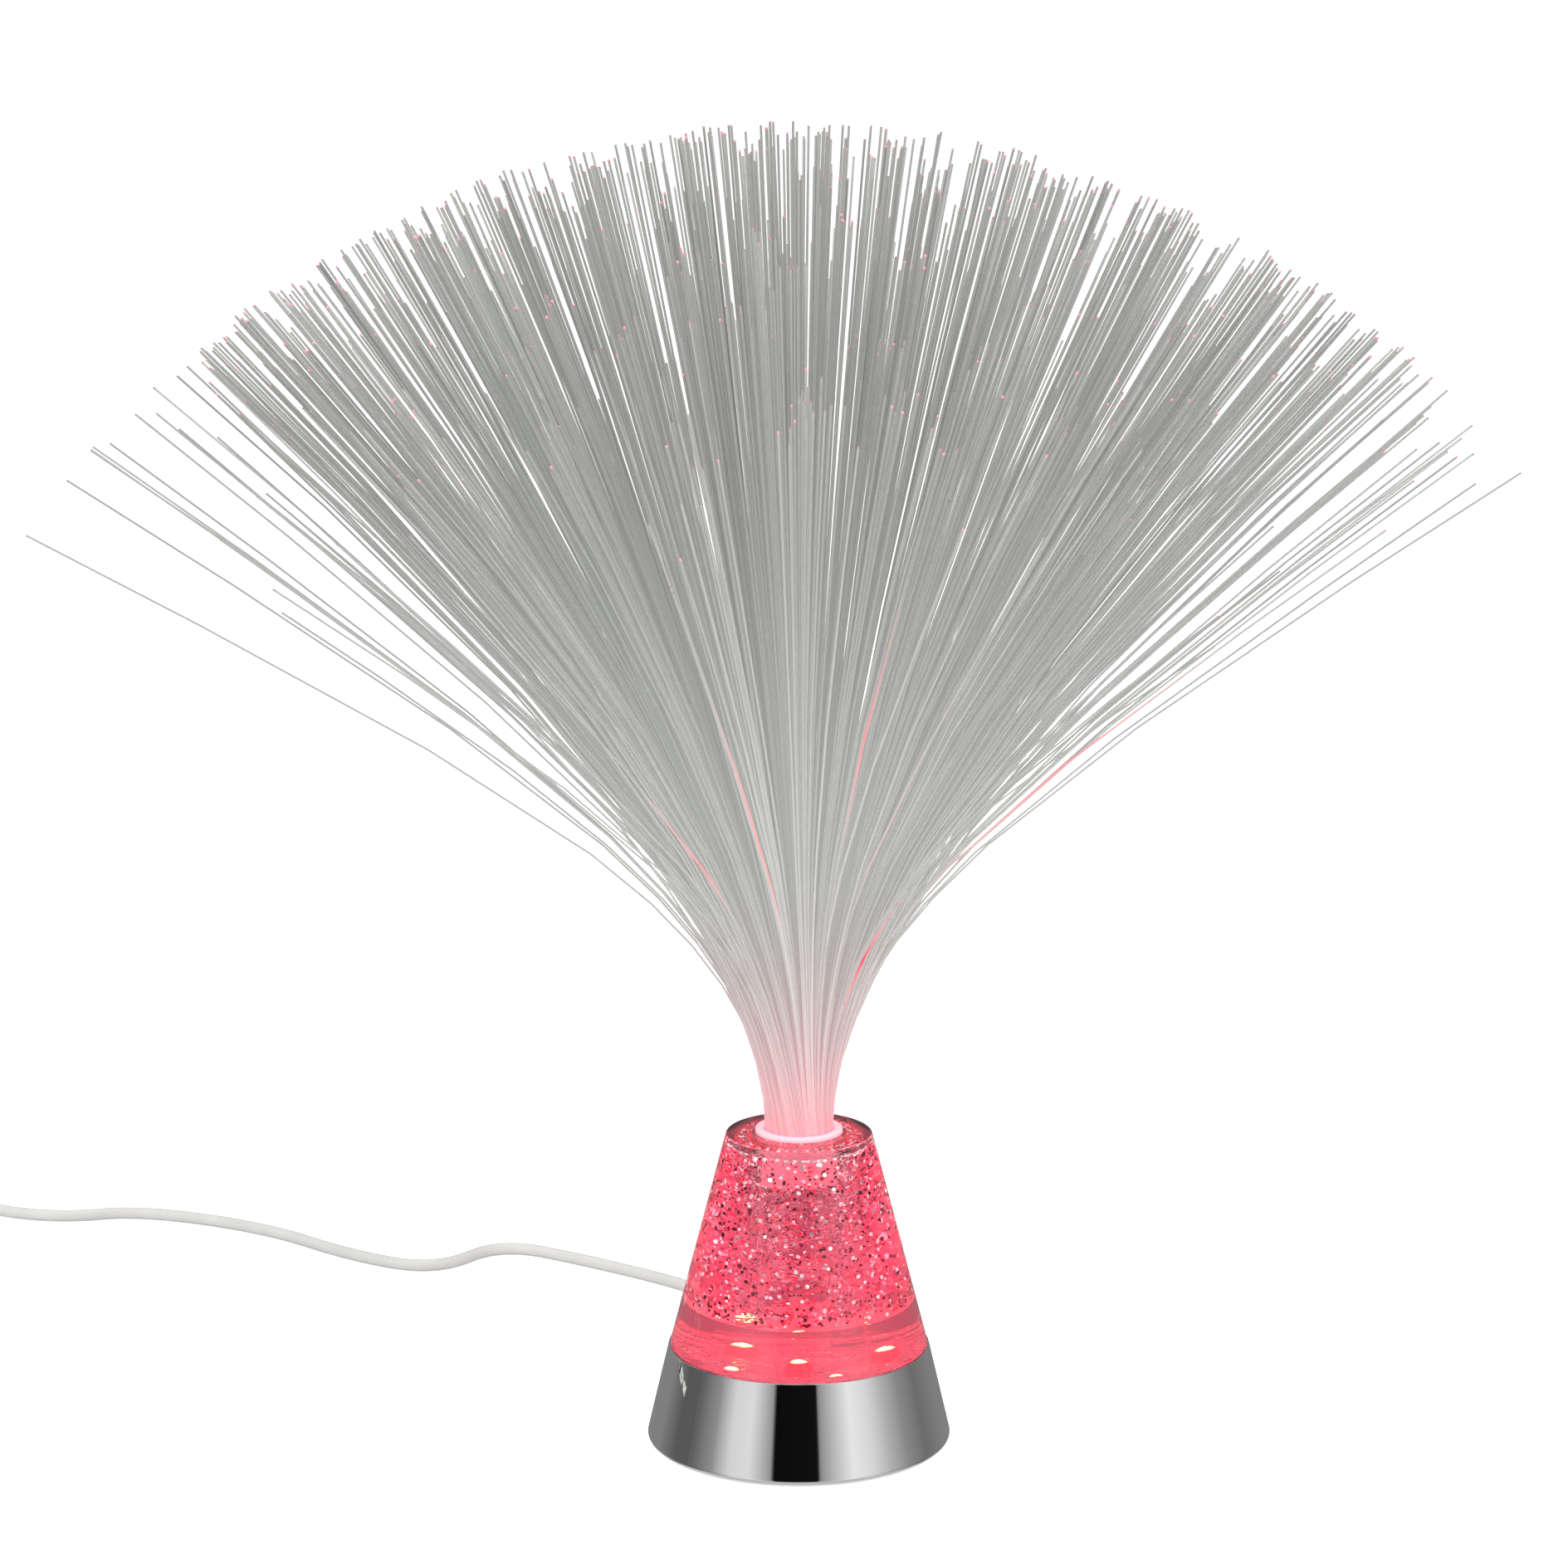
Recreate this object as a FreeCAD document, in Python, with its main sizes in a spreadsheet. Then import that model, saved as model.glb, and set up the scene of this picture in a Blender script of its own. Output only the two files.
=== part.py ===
import FreeCAD, Part
import Sketcher
import math
import os
import re

from FreeCAD import Placement, Rotation, Vector

# Fiber optic lamp: a chrome base, a clear cone of liquid and glitter, and a lift-out head of fibres.
# Origin: centre of the rest face. +Z is up, -Y is the front and the cord leaves at the back, +Y.
doc = FreeCAD.newDocument("fiber_optic_lamp")
sizes = doc.addObject("Spreadsheet::Sheet", "sizes")
names = {}
parts = []


def size(name, value, note):
    """Give one driving dimension, in millimetres or degrees, a row of the sheet."""
    row = len(names) + 1
    sizes.set(f"A{row}", name)
    sizes.set(f"B{row}", str(value))
    sizes.set(f"C{row}", note)
    sizes.setAlias(f"B{row}", name)
    names[name] = value


def formula(text):
    """Turn words such as 'base_height + 2' into an expression that reads the sheet."""
    return re.sub(r"[a-z_]+", lambda word: f"sizes.{word[0]}" if word[0] in names else word[0], text)


# Base
size("base_radius", 40, "outer radius of the skirt at its foot")
size("rim_radius", 34.1, "outer radius of the skirt at its top")
size("base_height", 26, "height of the ledge that the cone stands on")
size("skirt_wall", 2, "wall of the skirt")
size("ledge_width", 5.6, "width of the ledge under the cone")
size("ledge_thickness", 2, "thickness of the ledge")
size("floor_gap", 0.6, "height of the skirt's lower edge over the table")
size("foot_round", 1.2, "rounding of the skirt's foot")
size("rim_round", 0.4, "rounding of the skirt's top edge")
size("pad_radius", 26.5, "radius of the soft pad")
size("pad_thickness", 1.6, "thickness of the soft pad")
size("cover_thickness", 2, "thickness of the bottom cover")
size("cover_clearance", 0.2, "gap between cover and skirt")
size("boss_pitch_radius", 30.5, "distance of the cover's screws from the axis")
size("boss_radius", 3, "radius of a screw boss")
size("boss_height", 14, "height of a boss over the cover")
size("screw_shank_radius", 1.3, "radius of the cover's screws")
size("screw_head_radius", 2.5, "head radius of the cover's screws")
size("screw_head_height", 1.2, "head height of the cover's screws")
size("screw_length", 8, "length of the cover's screws under the head")
size("screw_clearance", 0.2, "gap round a screw in its hole")
size("screw_tip_gap", 0.3, "gap past a small screw's tip in its hole")

# Cone
size("cone_height", 57.3, "height of the cone over the ledge")
size("cone_top_radius", 19, "outer radius of the cone's top")
size("cone_inset", 0.3, "step from the skirt's rim in to the cone")
size("cone_wall", 3, "wall of the cone")
size("cone_top_thickness", 3, "thickness of the cone's top")
size("cone_round", 0.8, "rounding of the cone's top edge")
size("tube_wall", 2, "wall of the inner tube")
size("tube_seat", 2, "depth of the inner tube's seat in the floor block")
size("glue_gap", 0.05, "gap filled by solvent cement")
size("floor_block_rise", 12, "height of the floor block over the ledge")
size("spigot_depth", 6, "depth of the floor block's spigot under the ledge's top")
size("spigot_clearance", 0.3, "gap between spigot and ledge")
size("liquid_clearance", 0.1, "gap between the liquid and its walls")
size("fill_hole_radius", 2, "radius of the hole that the liquid was filled through")
size("fill_hole_offset", 22, "distance of the filling hole from the axis")
size("fill_plug_length", 7, "length of the filling hole's plug")

# Lights
size("led_radius", 2.5, "radius of a light emitting diode")
size("led_collar_radius", 2.9, "radius of a diode's foot ring")
size("led_collar_height", 1, "height of a diode's foot ring")
size("led_body_height", 6.1, "height of a diode's straight body, foot ring included")
size("led_offset", 15.5, "distance of the outer diodes from the axis")
size("led_clearance", 0.4, "gap round a diode in its recess")
size("carrier_thickness", 1.9, "thickness of the white carrier plate")
size("carrier_gap", 0.1, "gap between carrier plate and floor block")
size("ear_pitch_radius", 31, "distance of the carrier's ears from the axis")
size("ear_radius", 2.4, "radius of a carrier ear")
size("board_drop", 4.1, "gap between board and carrier plate")
size("board_radius", 25, "radius of the circuit board")
size("board_thickness", 1.6, "thickness of the circuit board")
size("post_pitch_radius", 21, "distance of the board's posts from the axis")
size("post_radius", 2.2, "radius of a board post")
size("small_shank_radius", 1, "radius of the small screws")
size("small_head_radius", 1.9, "head radius of the small screws")
size("small_head_height", 0.9, "head height of the small screws")
size("resistor_length", 3.2, "length of a chip resistor")
size("resistor_width", 1.6, "width of a chip resistor")
size("resistor_height", 0.6, "height of a chip resistor")

# Fibre head
size("strand_diameter", 1.32, "diameter of one lock of fibres")
size("strand_gap", 0.02, "gap between two locks in the bundle")
size("first_bend_length", 38, "length of a lock's first bend, which takes half of its lean")
size("second_bend_length", 112, "length of a lock's second, gentler bend")
size("spread_drop", 0.8, "depth under the cone's top where the locks start to bend")
size("widest_tilt", 48, "lean of the outermost lock, in degrees")
size("stray_tilt", 57, "lean of the outermost stray lock, in degrees")
size("stray_bend_length", 56, "length of a stray lock's second bend")
size("fibre_length", 270, "length of the longest fibre")
size("trim_step", 1.6, "step in which neighbouring locks differ in length")
size("sleeve_wall", 0.4, "wall of the bundle's sleeve")
size("sleeve_clearance", 0.05, "gap between the locks and their sleeve")
size("turning_clearance", 0.05, "gap between the sleeve and the plug it turns in")
size("plug_wall", 1, "wall of the head's plug")
size("plug_clearance", 0.1, "gap between the head's plug and the inner tube")
size("plug_depth", 12, "depth of the bundle's end under the cone's top")
size("plug_lip", 0.8, "thickness and width of the plug's lip under the sleeve")
size("flange_radius", 11.35, "radius of the head's flange")
size("flange_thickness", 1.2, "thickness of the head's flange")
size("seat_gap", 0.05, "gap between the flange and the cone's top")

# Cord
size("cord_diameter", 3.4, "diameter of the cord")
size("cord_exit_height", 8, "height of the cord's exit")
size("cord_inner_end", 14, "distance from the axis of the cord's end inside the base")
size("bore_clearance", 0.05, "gap round the cord in the parts that hold it")
size("relief_end", 50, "distance from the axis of the strain relief's tip")
size("relief_tip_radius", 2.4, "radius of the strain relief's tip")
size("relief_root_radius", 3.6, "radius of the strain relief's root")
size("relief_neck_radius", 3, "radius of the strain relief in the wall")
size("relief_flange_radius", 4.2, "radius of the strain relief's outer flange")
size("relief_flange_thickness", 1.5, "thickness of the strain relief's flanges")
size("relief_flange_step", 0.3, "difference in radius between the outer flange and the inner one")
size("relief_gap", 0.1, "gap between the outer flange and the skirt")
size("clamp_length", 18, "length of the cord clamp across the cord")
size("clamp_width", 6, "width of the cord clamp along the cord")
size("clamp_offset", 23, "distance of the cord clamp from the axis")
size("clamp_thickness", 1.6, "thickness of the clamp over the cord")
size("clamp_screw_offset", 6.3, "distance of the clamp's screws from the cord")
size("clamp_screw_bite", 1.2, "depth of the clamp's screws in the saddle")
size("wire_radius", 0.55, "radius of a core with its insulation")
size("wire_spread", 0.8, "distance of a core from the cord's middle")
size("wire_bend", 3, "bending radius of a core")
size("cord_lift", 0.05, "height of the cord's underside over the table")
size("coil_bend", 10.4, "radius of the coil's innermost half turn")
size("coil_pitch", 3.9, "step between neighbouring turns and between layers of the coil")
size("coil_turns", 4, "turns of the coil in one layer")
size("coil_lift", 1.05, "height of the coil's underside over the table")
size("coil_shift", 2, "distance of the coil's middle past the switch's far end")
size("coil_gap", 17.3, "gap between the coil and the switch")
size("grip_gap", 10.3, "gap between the coil and the connector's grip")
size("tie_width", 10, "width of the strap round the coil")
size("tie_thickness", 0.8, "thickness of the strap round the coil")
size("tie_clearance", 0.2, "gap between the strap and the coil")

# Switch
size("case_length", 46, "length of the switch")
size("case_width", 16, "width of the switch")
size("case_height", 11, "height of the switch")
size("case_wall", 1.6, "wall of the switch")
size("case_lift", 0.1, "height of the switch's underside over the table")
size("case_round", 2.5, "rounding of the switch's upright edges")
size("case_cord_depth", 8, "length of cord inside each end of the switch")
size("rocker_length", 13.4, "length of the rocker")
size("rocker_width", 6.4, "width of the rocker")
size("rocker_clearance", 0.3, "gap round the rocker in its opening")
size("rocker_pivot_height", 8.4, "height of the rocker's pivot over the switch's underside")
size("rocker_flat", 8, "length of the flat under the rocker")
size("rocker_rise", 4, "height of the rocker's ends over its pivot")
size("rocker_depth", 2, "depth of the rocker's underside under its pivot")
size("rocker_tilt", 7, "lean of the rocker to either side, in degrees")
size("pivot_radius", 1, "radius of the rocker's pivots")
size("pivot_length", 1, "length of each pivot")
size("cheek_thickness", 1.2, "thickness of the cheeks that carry the pivots")
size("bridge_length", 9, "length of the brass bridge under the rocker")
size("bridge_width", 2.4, "width of the brass bridge")
size("bridge_thickness", 0.4, "thickness of the brass bridge")
size("bridge_offset", 0.9, "distance of the bridge's middle from the switch's middle, crossways")
size("terminal_height", 3.3, "height of a brass terminal")
size("terminal_length", 2.2, "length of a brass terminal")
size("terminal_reach", 0.5, "distance that a terminal stands out past the bridge's end")
size("switch_core_radius", 0.45, "radius of a core inside the switch")
size("through_core_side", 0.95, "distance of the unswitched core from the cord's middle, crossways")
size("through_core_drop", 0.6, "depth of the unswitched core under the cord's middle")
size("cut_core_side", 0.85, "distance of the switched core from the cord's middle, crossways")
size("cut_core_drop", 1.1, "depth of the switched core under the cord's middle")
size("case_post_radius", 1.6, "radius of the posts that the switch's screws run in")
size("case_screw_offset", 15, "distance of the switch's screws from its middle, lengthways")
size("case_screw_side", 4.3, "distance of the switch's screws from its middle, crossways")

# Connector on the cord's far end
size("grip_length", 24, "length of the connector's grip")
size("grip_width", 15.5, "width of the connector's grip")
size("grip_height", 8, "height of the connector's grip")
size("grip_round", 1.6, "rounding of the grip's long edges")
size("grip_lift", 0.3, "height of the grip's underside over the table")
size("shell_width", 12, "width of the connector's metal shell")
size("shell_height", 4.5, "height of the connector's metal shell")
size("shell_wall", 0.3, "wall of the connector's metal shell")
size("shell_length", 18.7, "length of the shell that stands out of the grip")
size("shell_seat", 4, "length of the shell inside the grip")
size("shell_window", 2.5, "side of the shell's square windows")
size("tongue_height", 1.8, "height of the connector's tongue")
size("tongue_clearance", 0.05, "gap between the tongue and the shell")
size("tongue_setback", 0.8, "distance from the shell's mouth to the tongue's end")
size("contact_length", 7.4, "length of a contact")
size("contact_setback", 1, "distance from the tongue's end to the contacts")
size("contact_width", 1, "width of a contact")
size("contact_thickness", 0.2, "thickness of a contact")
size("contact_pitch", 2.25, "distance between neighbouring contacts")
doc.recompute()

# Heights and radii that several pieces share, as formulas of the sheet's sizes
skirt_slope = "((base_radius - rim_radius) / (base_height - floor_gap))"
cover_top = "(pad_thickness + cover_thickness)"
cone_top = "(base_height + cone_height)"
cone_foot_radius = "(rim_radius - cone_inset)"
cone_slope = f"(({cone_foot_radius} - cone_top_radius) / cone_height)"
ceiling = f"({cone_top} - cone_top_thickness)"
block_top = "(base_height + floor_block_rise)"
spigot_bottom = "(base_height - spigot_depth)"
carrier_bottom = f"({spigot_bottom} - carrier_gap - carrier_thickness)"
board_top = f"({carrier_bottom} - board_drop)"
board_bottom = f"({board_top} - board_thickness)"
bundle_bottom = f"({cone_top} - plug_depth)"

# Counts and places round the axis, in degrees
STRAND_RINGS = 6
STRAY_STEP = 4  # every fourth lock of the outermost ring strays
LED_ANGLES = [-60, 30, 120, 210]
COVER_SCREW_ANGLES = [30, 150, 270]
EAR_ANGLES = [60, 180, 300]
POST_ANGLES = [0, 120, 240]
FILL_HOLE_ANGLE = 75


def skirt_inside(height):
    """Inner radius of the skirt's wall at a height."""
    return f"(base_radius - skirt_wall - {skirt_slope} * ({height} - floor_gap))"


def cone_inside(height):
    """Inner radius of the cone's wall at a height."""
    return f"({cone_foot_radius} - cone_wall - {cone_slope} * ({height} - base_height))"


def strand_pitch():
    return names["strand_diameter"] + names["strand_gap"]


# The bundle's outer radius grows with the rings of locks that it holds
bundle_radius = f"({STRAND_RINGS} * (strand_diameter + strand_gap) + strand_diameter / 2)"
sleeve_inside = f"({bundle_radius} + sleeve_clearance)"
sleeve_outside = f"({sleeve_inside} + sleeve_wall)"
plug_inside = f"({sleeve_outside} + turning_clearance)"
plug_outside = f"({plug_inside} + plug_wall)"
tube_inside = f"({plug_outside} + plug_clearance)"
tube_outside = f"({tube_inside} + tube_wall)"


def bind(item, place=None, **fields):
    """Tie an object's own sizes, and its place, to the sheet."""
    for field, text in fields.items():
        item.setExpression(field, formula(text))
    for axis, text in (place or {}).items():
        item.setExpression(f"Placement.Base.{axis}", formula(text))
    return item


def around(radius, angle, height):
    """Place on a circle about the lamp's axis."""
    return {"x": f"{radius} * cos({angle} deg)", "y": f"{radius} * sin({angle} deg)", "z": height}


def rod(name, radius, height, place, turn=None):
    """Round bar that starts at its place, upright unless it is turned."""
    item = doc.addObject("Part::Cylinder", name)
    if turn:
        item.Placement = Placement(Vector(), turn)
    return bind(item, place, Radius=radius, Height=height)


def block(name, length, width, height, place):
    """Rectangular bar, its place being its lowest corner."""
    return bind(doc.addObject("Part::Box", name), place, Length=length, Width=width, Height=height)


def joined(name, items):
    item = doc.addObject("Part::MultiFuse", name)
    item.Shapes = items
    return item


def group(name, items):
    """Like pieces that share one node and stay separate solids."""
    item = doc.addObject("Part::Compound", name)
    item.Links = items
    return item


def cut(name, base, tools):
    item = doc.addObject("Part::Cut", name)
    item.Base = base
    item.Tool = tools[0] if len(tools) == 1 else joined(f"{name}_tools", tools)
    return item


def piece(item, label):
    """Name a finished sub-part."""
    item.Label = label
    parts.append(item)
    return item


def turned(name, outline, rounds=()):
    """Body turned about the lamp's axis from an outline of (radius, height) corners.

    rounds holds (corner, radius) pairs for the circular edges that are rounded.
    """
    body = doc.addObject("PartDesign::Body", name)
    sketch = body.newObject("Sketcher::SketchObject", f"{name}_outline")
    plane = next(f for f in body.Origin.OriginFeatures if f.Role == "XZ_Plane")
    sketch.AttachmentSupport = [(plane, "")]
    sketch.MapMode = "FlatFace"
    count = len(outline)
    guess = [Vector(10 + math.cos(math.tau * i / count), 10 + math.sin(math.tau * i / count), 0)
             for i in range(count)]
    for i in range(count):
        sketch.addGeometry(Part.LineSegment(guess[i], guess[(i + 1) % count]), False)
    for i in range(count):
        sketch.addConstraint(Sketcher.Constraint("Coincident", i, 2, (i + 1) % count, 1))
    for i, (radius, height) in enumerate(outline):
        if radius == "0":
            sketch.addConstraint(Sketcher.Constraint("PointOnObject", i, 1, -2))
        else:
            across = sketch.addConstraint(Sketcher.Constraint("DistanceX", -1, 1, i, 1, guess[i].x))
            sketch.setExpression(f"Constraints[{across}]", formula(radius))
        if height == "0":
            sketch.addConstraint(Sketcher.Constraint("PointOnObject", i, 1, -1))
        else:
            upward = sketch.addConstraint(Sketcher.Constraint("DistanceY", -1, 1, i, 1, guess[i].y))
            sketch.setExpression(f"Constraints[{upward}]", formula(height))
    turn = body.newObject("PartDesign::Revolution", f"{name}_turned")
    turn.Profile = sketch
    turn.ReferenceAxis = (sketch, ["V_Axis"])
    turn.Angle = 360
    doc.recompute()
    for number, (corner, radius) in enumerate(rounds):
        last = body.Tip
        point = sketch.Geometry[corner].StartPoint
        edges = [f"Edge{i + 1}" for i, edge in enumerate(last.Shape.Edges)
                 if isinstance(edge.Curve, Part.Circle)
                 and abs(edge.Curve.Radius - point.x) < 0.001
                 and abs(edge.Curve.Center.z - point.y) < 0.001]
        fillet = body.newObject("PartDesign::Fillet", f"{name}_round_{number}")
        fillet.Base = (last, edges)
        fillet.setExpression("Radius", formula(radius))
        doc.recompute()
    return body


def screw(name, place_radius, angle, head_bottom, head_radius, head_height, shank_radius, length):
    """Upright screw with its head below, as driven in from underneath."""
    head = rod(f"{name}_head", head_radius, head_height, around(place_radius, angle, head_bottom))
    shank = rod(f"{name}_shank", shank_radius, length,
                around(place_radius, angle, f"{head_bottom} + {head_height}"))
    return joined(name, [head, shank])


# Skirt: chrome-plated shell with the ledge, the cover's bosses, the carrier's bosses and the cord's hole
skirt_shell = turned("skirt_shell", [
    ("base_radius", "floor_gap"),
    ("rim_radius", "base_height"),
    ("rim_radius - ledge_width", "base_height"),
    ("rim_radius - ledge_width", "base_height - ledge_thickness"),
    (skirt_inside("(base_height - ledge_thickness)"), "base_height - ledge_thickness"),
    ("base_radius - skirt_wall", "floor_gap"),
], rounds=[(0, "foot_round"), (1, "rim_round")])
bosses = []
pilot_holes = []
for angle in COVER_SCREW_ANGLES:
    tag = f"{angle}"
    bosses.append(rod(f"boss_{tag}", "boss_radius", "boss_height",
                      around("boss_pitch_radius", angle, cover_top)))
    web = doc.addObject("Part::Box", f"boss_web_{tag}")
    web.Placement = Placement(Vector(), Rotation(Vector(0, 0, 1), angle))
    bosses.append(bind(web, {
        "x": f"boss_pitch_radius * cos({angle} deg) + skirt_wall / 2 * sin({angle} deg)",
        "y": f"boss_pitch_radius * sin({angle} deg) - skirt_wall / 2 * cos({angle} deg)",
        "z": cover_top},
        Length=f"{skirt_inside(f'({cover_top} + boss_height)')} + skirt_wall / 2 - boss_pitch_radius",
        Width="skirt_wall", Height="boss_height"))
    pilot_holes.append(rod(f"pilot_hole_{tag}", "screw_shank_radius", "screw_length",
                           around("boss_pitch_radius", angle, cover_top)))
for angle in EAR_ANGLES:
    tag = f"{angle}"
    top = "(base_height - ledge_thickness)"
    bottom = f"({carrier_bottom} + carrier_thickness)"
    bosses.append(rod(f"ear_boss_{tag}", "ear_radius", f"{top} - {bottom} + ledge_thickness / 2",
                      around("ear_pitch_radius", angle, bottom)))
    pilot_holes.append(rod(f"ear_hole_{tag}", "small_shank_radius", f"{top} - {bottom}",
                           around("ear_pitch_radius", angle, bottom)))
backward = Rotation(Vector(1, 0, 0), -90)
cord_hole = rod("cord_hole", "relief_neck_radius + cover_clearance", "4 * skirt_wall",
                {"y": f"{skirt_inside('cord_exit_height')} - 2 * skirt_wall", "z": "cord_exit_height"},
                backward)
skirt_solid = joined("skirt_solid", [skirt_shell, *bosses])
piece(cut("skirt_cut", skirt_solid, [*pilot_holes, cord_hole]), "base_skirt")

# Cover: black plate that closes the base, with the saddle that the cord lies on
cover_radius = f"({skirt_inside(cover_top)} - cover_clearance)"
cover_plate = rod("cover_plate", cover_radius, "cover_thickness", {"z": "pad_thickness"})
saddle_top = "(cord_exit_height - cord_diameter / 2)"
saddle_root = "(pad_thickness + cover_thickness / 2)"
saddle = block("saddle", "clamp_length", "clamp_width", f"{saddle_top} - {saddle_root}",
               {"x": "-clamp_length / 2", "y": "clamp_offset - clamp_width / 2", "z": saddle_root})
cover_holes = []
for angle in COVER_SCREW_ANGLES:
    cover_holes.append(rod(f"cover_hole_{angle}", "screw_shank_radius + screw_clearance",
                           "2 * cover_thickness",
                           around("boss_pitch_radius", angle, "pad_thickness - cover_thickness / 2")))
    cover_holes.append(rod(f"cover_sink_{angle}", "screw_head_radius + screw_clearance",
                           "screw_head_height",
                           around("boss_pitch_radius", angle, "pad_thickness")))
clamp_screw_length = "(clamp_thickness + cord_diameter + clamp_screw_bite)"
for side in (-1, 1):
    cover_holes.append(rod(f"saddle_hole_{side + 1}", "small_shank_radius", clamp_screw_length,
                           {"x": f"{side} * clamp_screw_offset", "y": "clamp_offset",
                            "z": f"{saddle_top} - clamp_screw_bite"}))
cover_solid = joined("cover_solid", [cover_plate, saddle])
piece(cut("cover_cut", cover_solid, cover_holes), "base_cover")
piece(group("cover_screw_set", [
    screw(f"cover_screw_{angle}", "boss_pitch_radius", angle, "pad_thickness", "screw_head_radius",
          "screw_head_height", "screw_shank_radius", "screw_length")
    for angle in COVER_SCREW_ANGLES]), "cover_screws")
piece(rod("pad_disc", "pad_radius", "pad_thickness", {}), "foot_pad")

# Cord clamp: small bridge over the cord, screwed down on the saddle
clamp_bottom = saddle_top
clamp_bar = block("clamp_bar", "clamp_length", "clamp_width", "cord_diameter + clamp_thickness",
                  {"x": "-clamp_length / 2", "y": "clamp_offset - clamp_width / 2", "z": clamp_bottom})
clamp_slot = block("clamp_slot", "cord_diameter + 2 * bore_clearance", "2 * clamp_width",
                   "cord_diameter + bore_clearance",
                   {"x": "-cord_diameter / 2 - bore_clearance", "y": "clamp_offset - clamp_width",
                    "z": clamp_bottom})
clamp_top = f"({clamp_bottom} + cord_diameter + clamp_thickness)"
clamp_holes = [rod(f"clamp_hole_{side + 1}", "small_shank_radius + screw_clearance / 2",
                   "2 * cord_diameter + 2 * clamp_thickness",
                   {"x": f"{side} * clamp_screw_offset", "y": "clamp_offset",
                    "z": f"{clamp_bottom} - clamp_thickness"})
               for side in (-1, 1)]
piece(cut("clamp_cut", clamp_bar, [clamp_slot, *clamp_holes]), "cord_clamp")
clamp_screws = []
for side in (-1, 1):
    at = {"x": f"{side} * clamp_screw_offset", "y": "clamp_offset"}
    head = rod(f"clamp_head_{side + 1}", "small_head_radius", "small_head_height", {**at, "z": clamp_top})
    shank = rod(f"clamp_shank_{side + 1}", "small_shank_radius", clamp_screw_length,
                {**at, "z": f"{clamp_top} - {clamp_screw_length}"})
    clamp_screws.append(joined(f"clamp_screw_{side + 1}", [head, shank]))
piece(group("clamp_screw_set", clamp_screws), "clamp_screws")

# Cone: clear acrylic shell, open below, with a thick top round the inner tube
piece(turned("cone_shell", [
    (f"{cone_foot_radius} - cone_wall", "base_height"),
    (cone_foot_radius, "base_height"),
    ("cone_top_radius", cone_top),
    (f"{tube_outside} + glue_gap", cone_top),
    (f"{tube_outside} + glue_gap", ceiling),
    (cone_inside(ceiling), ceiling),
], rounds=[(2, "cone_round")]), "cone_vessel")
piece(turned("tube_ring", [
    (tube_inside, f"{block_top} - tube_seat"),
    (tube_outside, f"{block_top} - tube_seat"),
    (tube_outside, cone_top),
    (tube_inside, cone_top),
]), "inner_tube")

# Floor block: clear plug cemented into the cone, with recesses for the diodes and the tube
block_solid = turned("block_solid", [
    ("0", spigot_bottom),
    ("rim_radius - ledge_width - spigot_clearance", spigot_bottom),
    ("rim_radius - ledge_width - spigot_clearance", "base_height"),
    (f"{cone_foot_radius} - cone_wall - glue_gap", "base_height"),
    (f"{cone_inside(block_top)} - glue_gap", block_top),
    (f"{tube_outside} + glue_gap", block_top),
    (f"{tube_outside} + glue_gap", f"{block_top} - tube_seat"),
    ("0", f"{block_top} - tube_seat"),
])
led_top = f"({board_top} + led_body_height + led_radius)"
recess_top = f"({led_top} + led_clearance)"
led_places = [("0", 0)] + [("led_offset", angle) for angle in LED_ANGLES]
recesses = [rod(f"led_recess_{i}", "led_collar_radius + led_clearance",
                f"{recess_top} - {spigot_bottom} + carrier_thickness",
                around(radius, angle, f"{spigot_bottom} - carrier_thickness"))
            for i, (radius, angle) in enumerate(led_places)]
fill_hole = rod("fill_hole", "fill_hole_radius", f"{block_top} - {spigot_bottom} + 2 * tube_seat",
                around("fill_hole_offset", FILL_HOLE_ANGLE, f"{spigot_bottom} - tube_seat"))
piece(cut("block_cut", block_solid, [*recesses, fill_hole]), "vessel_floor")
piece(rod("fill_stopper", "fill_hole_radius - glue_gap", "fill_plug_length",
          around("fill_hole_offset", FILL_HOLE_ANGLE, spigot_bottom)), "fill_plug")

# Liquid: fills the ring-shaped chamber between cone and tube
low = f"({block_top} + liquid_clearance)"
high = f"({ceiling} - liquid_clearance)"
piece(turned("liquid_ring", [
    (f"{tube_outside} + liquid_clearance", low),
    (f"{cone_inside(low)} - liquid_clearance", low),
    (f"{cone_inside(high)} - liquid_clearance", high),
    (f"{tube_outside} + liquid_clearance", high),
]), "glitter_liquid")

# Carrier: white plate that throws the light up, screwed to the skirt by three ears
carrier_disc = rod("carrier_disc", "rim_radius - ledge_width - spigot_clearance", "carrier_thickness",
                   {"z": carrier_bottom})
ears = [rod(f"ear_{angle}", "ear_radius", "carrier_thickness",
            around("ear_pitch_radius", angle, carrier_bottom)) for angle in EAR_ANGLES]
posts = [rod(f"post_{angle}", "post_radius", "board_drop + carrier_thickness / 2",
             around("post_pitch_radius", angle, board_top)) for angle in POST_ANGLES]
carrier_holes = [rod(f"carrier_led_hole_{i}", "led_collar_radius + led_clearance",
                     "2 * carrier_thickness",
                     around(radius, angle, f"{carrier_bottom} - carrier_thickness / 2"))
                 for i, (radius, angle) in enumerate(led_places)]
carrier_holes += [rod(f"ear_screw_hole_{angle}", "small_shank_radius + screw_clearance / 2",
                      "2 * carrier_thickness",
                      around("ear_pitch_radius", angle, f"{carrier_bottom} - carrier_thickness / 2"))
                  for angle in EAR_ANGLES]
carrier_holes += [rod(f"post_hole_{angle}", "small_shank_radius", "board_drop",
                      around("post_pitch_radius", angle, board_top)) for angle in POST_ANGLES]
carrier_solid = joined("carrier_solid", [carrier_disc, *ears, *posts])
piece(cut("carrier_cut", carrier_solid, carrier_holes), "led_carrier")
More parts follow.
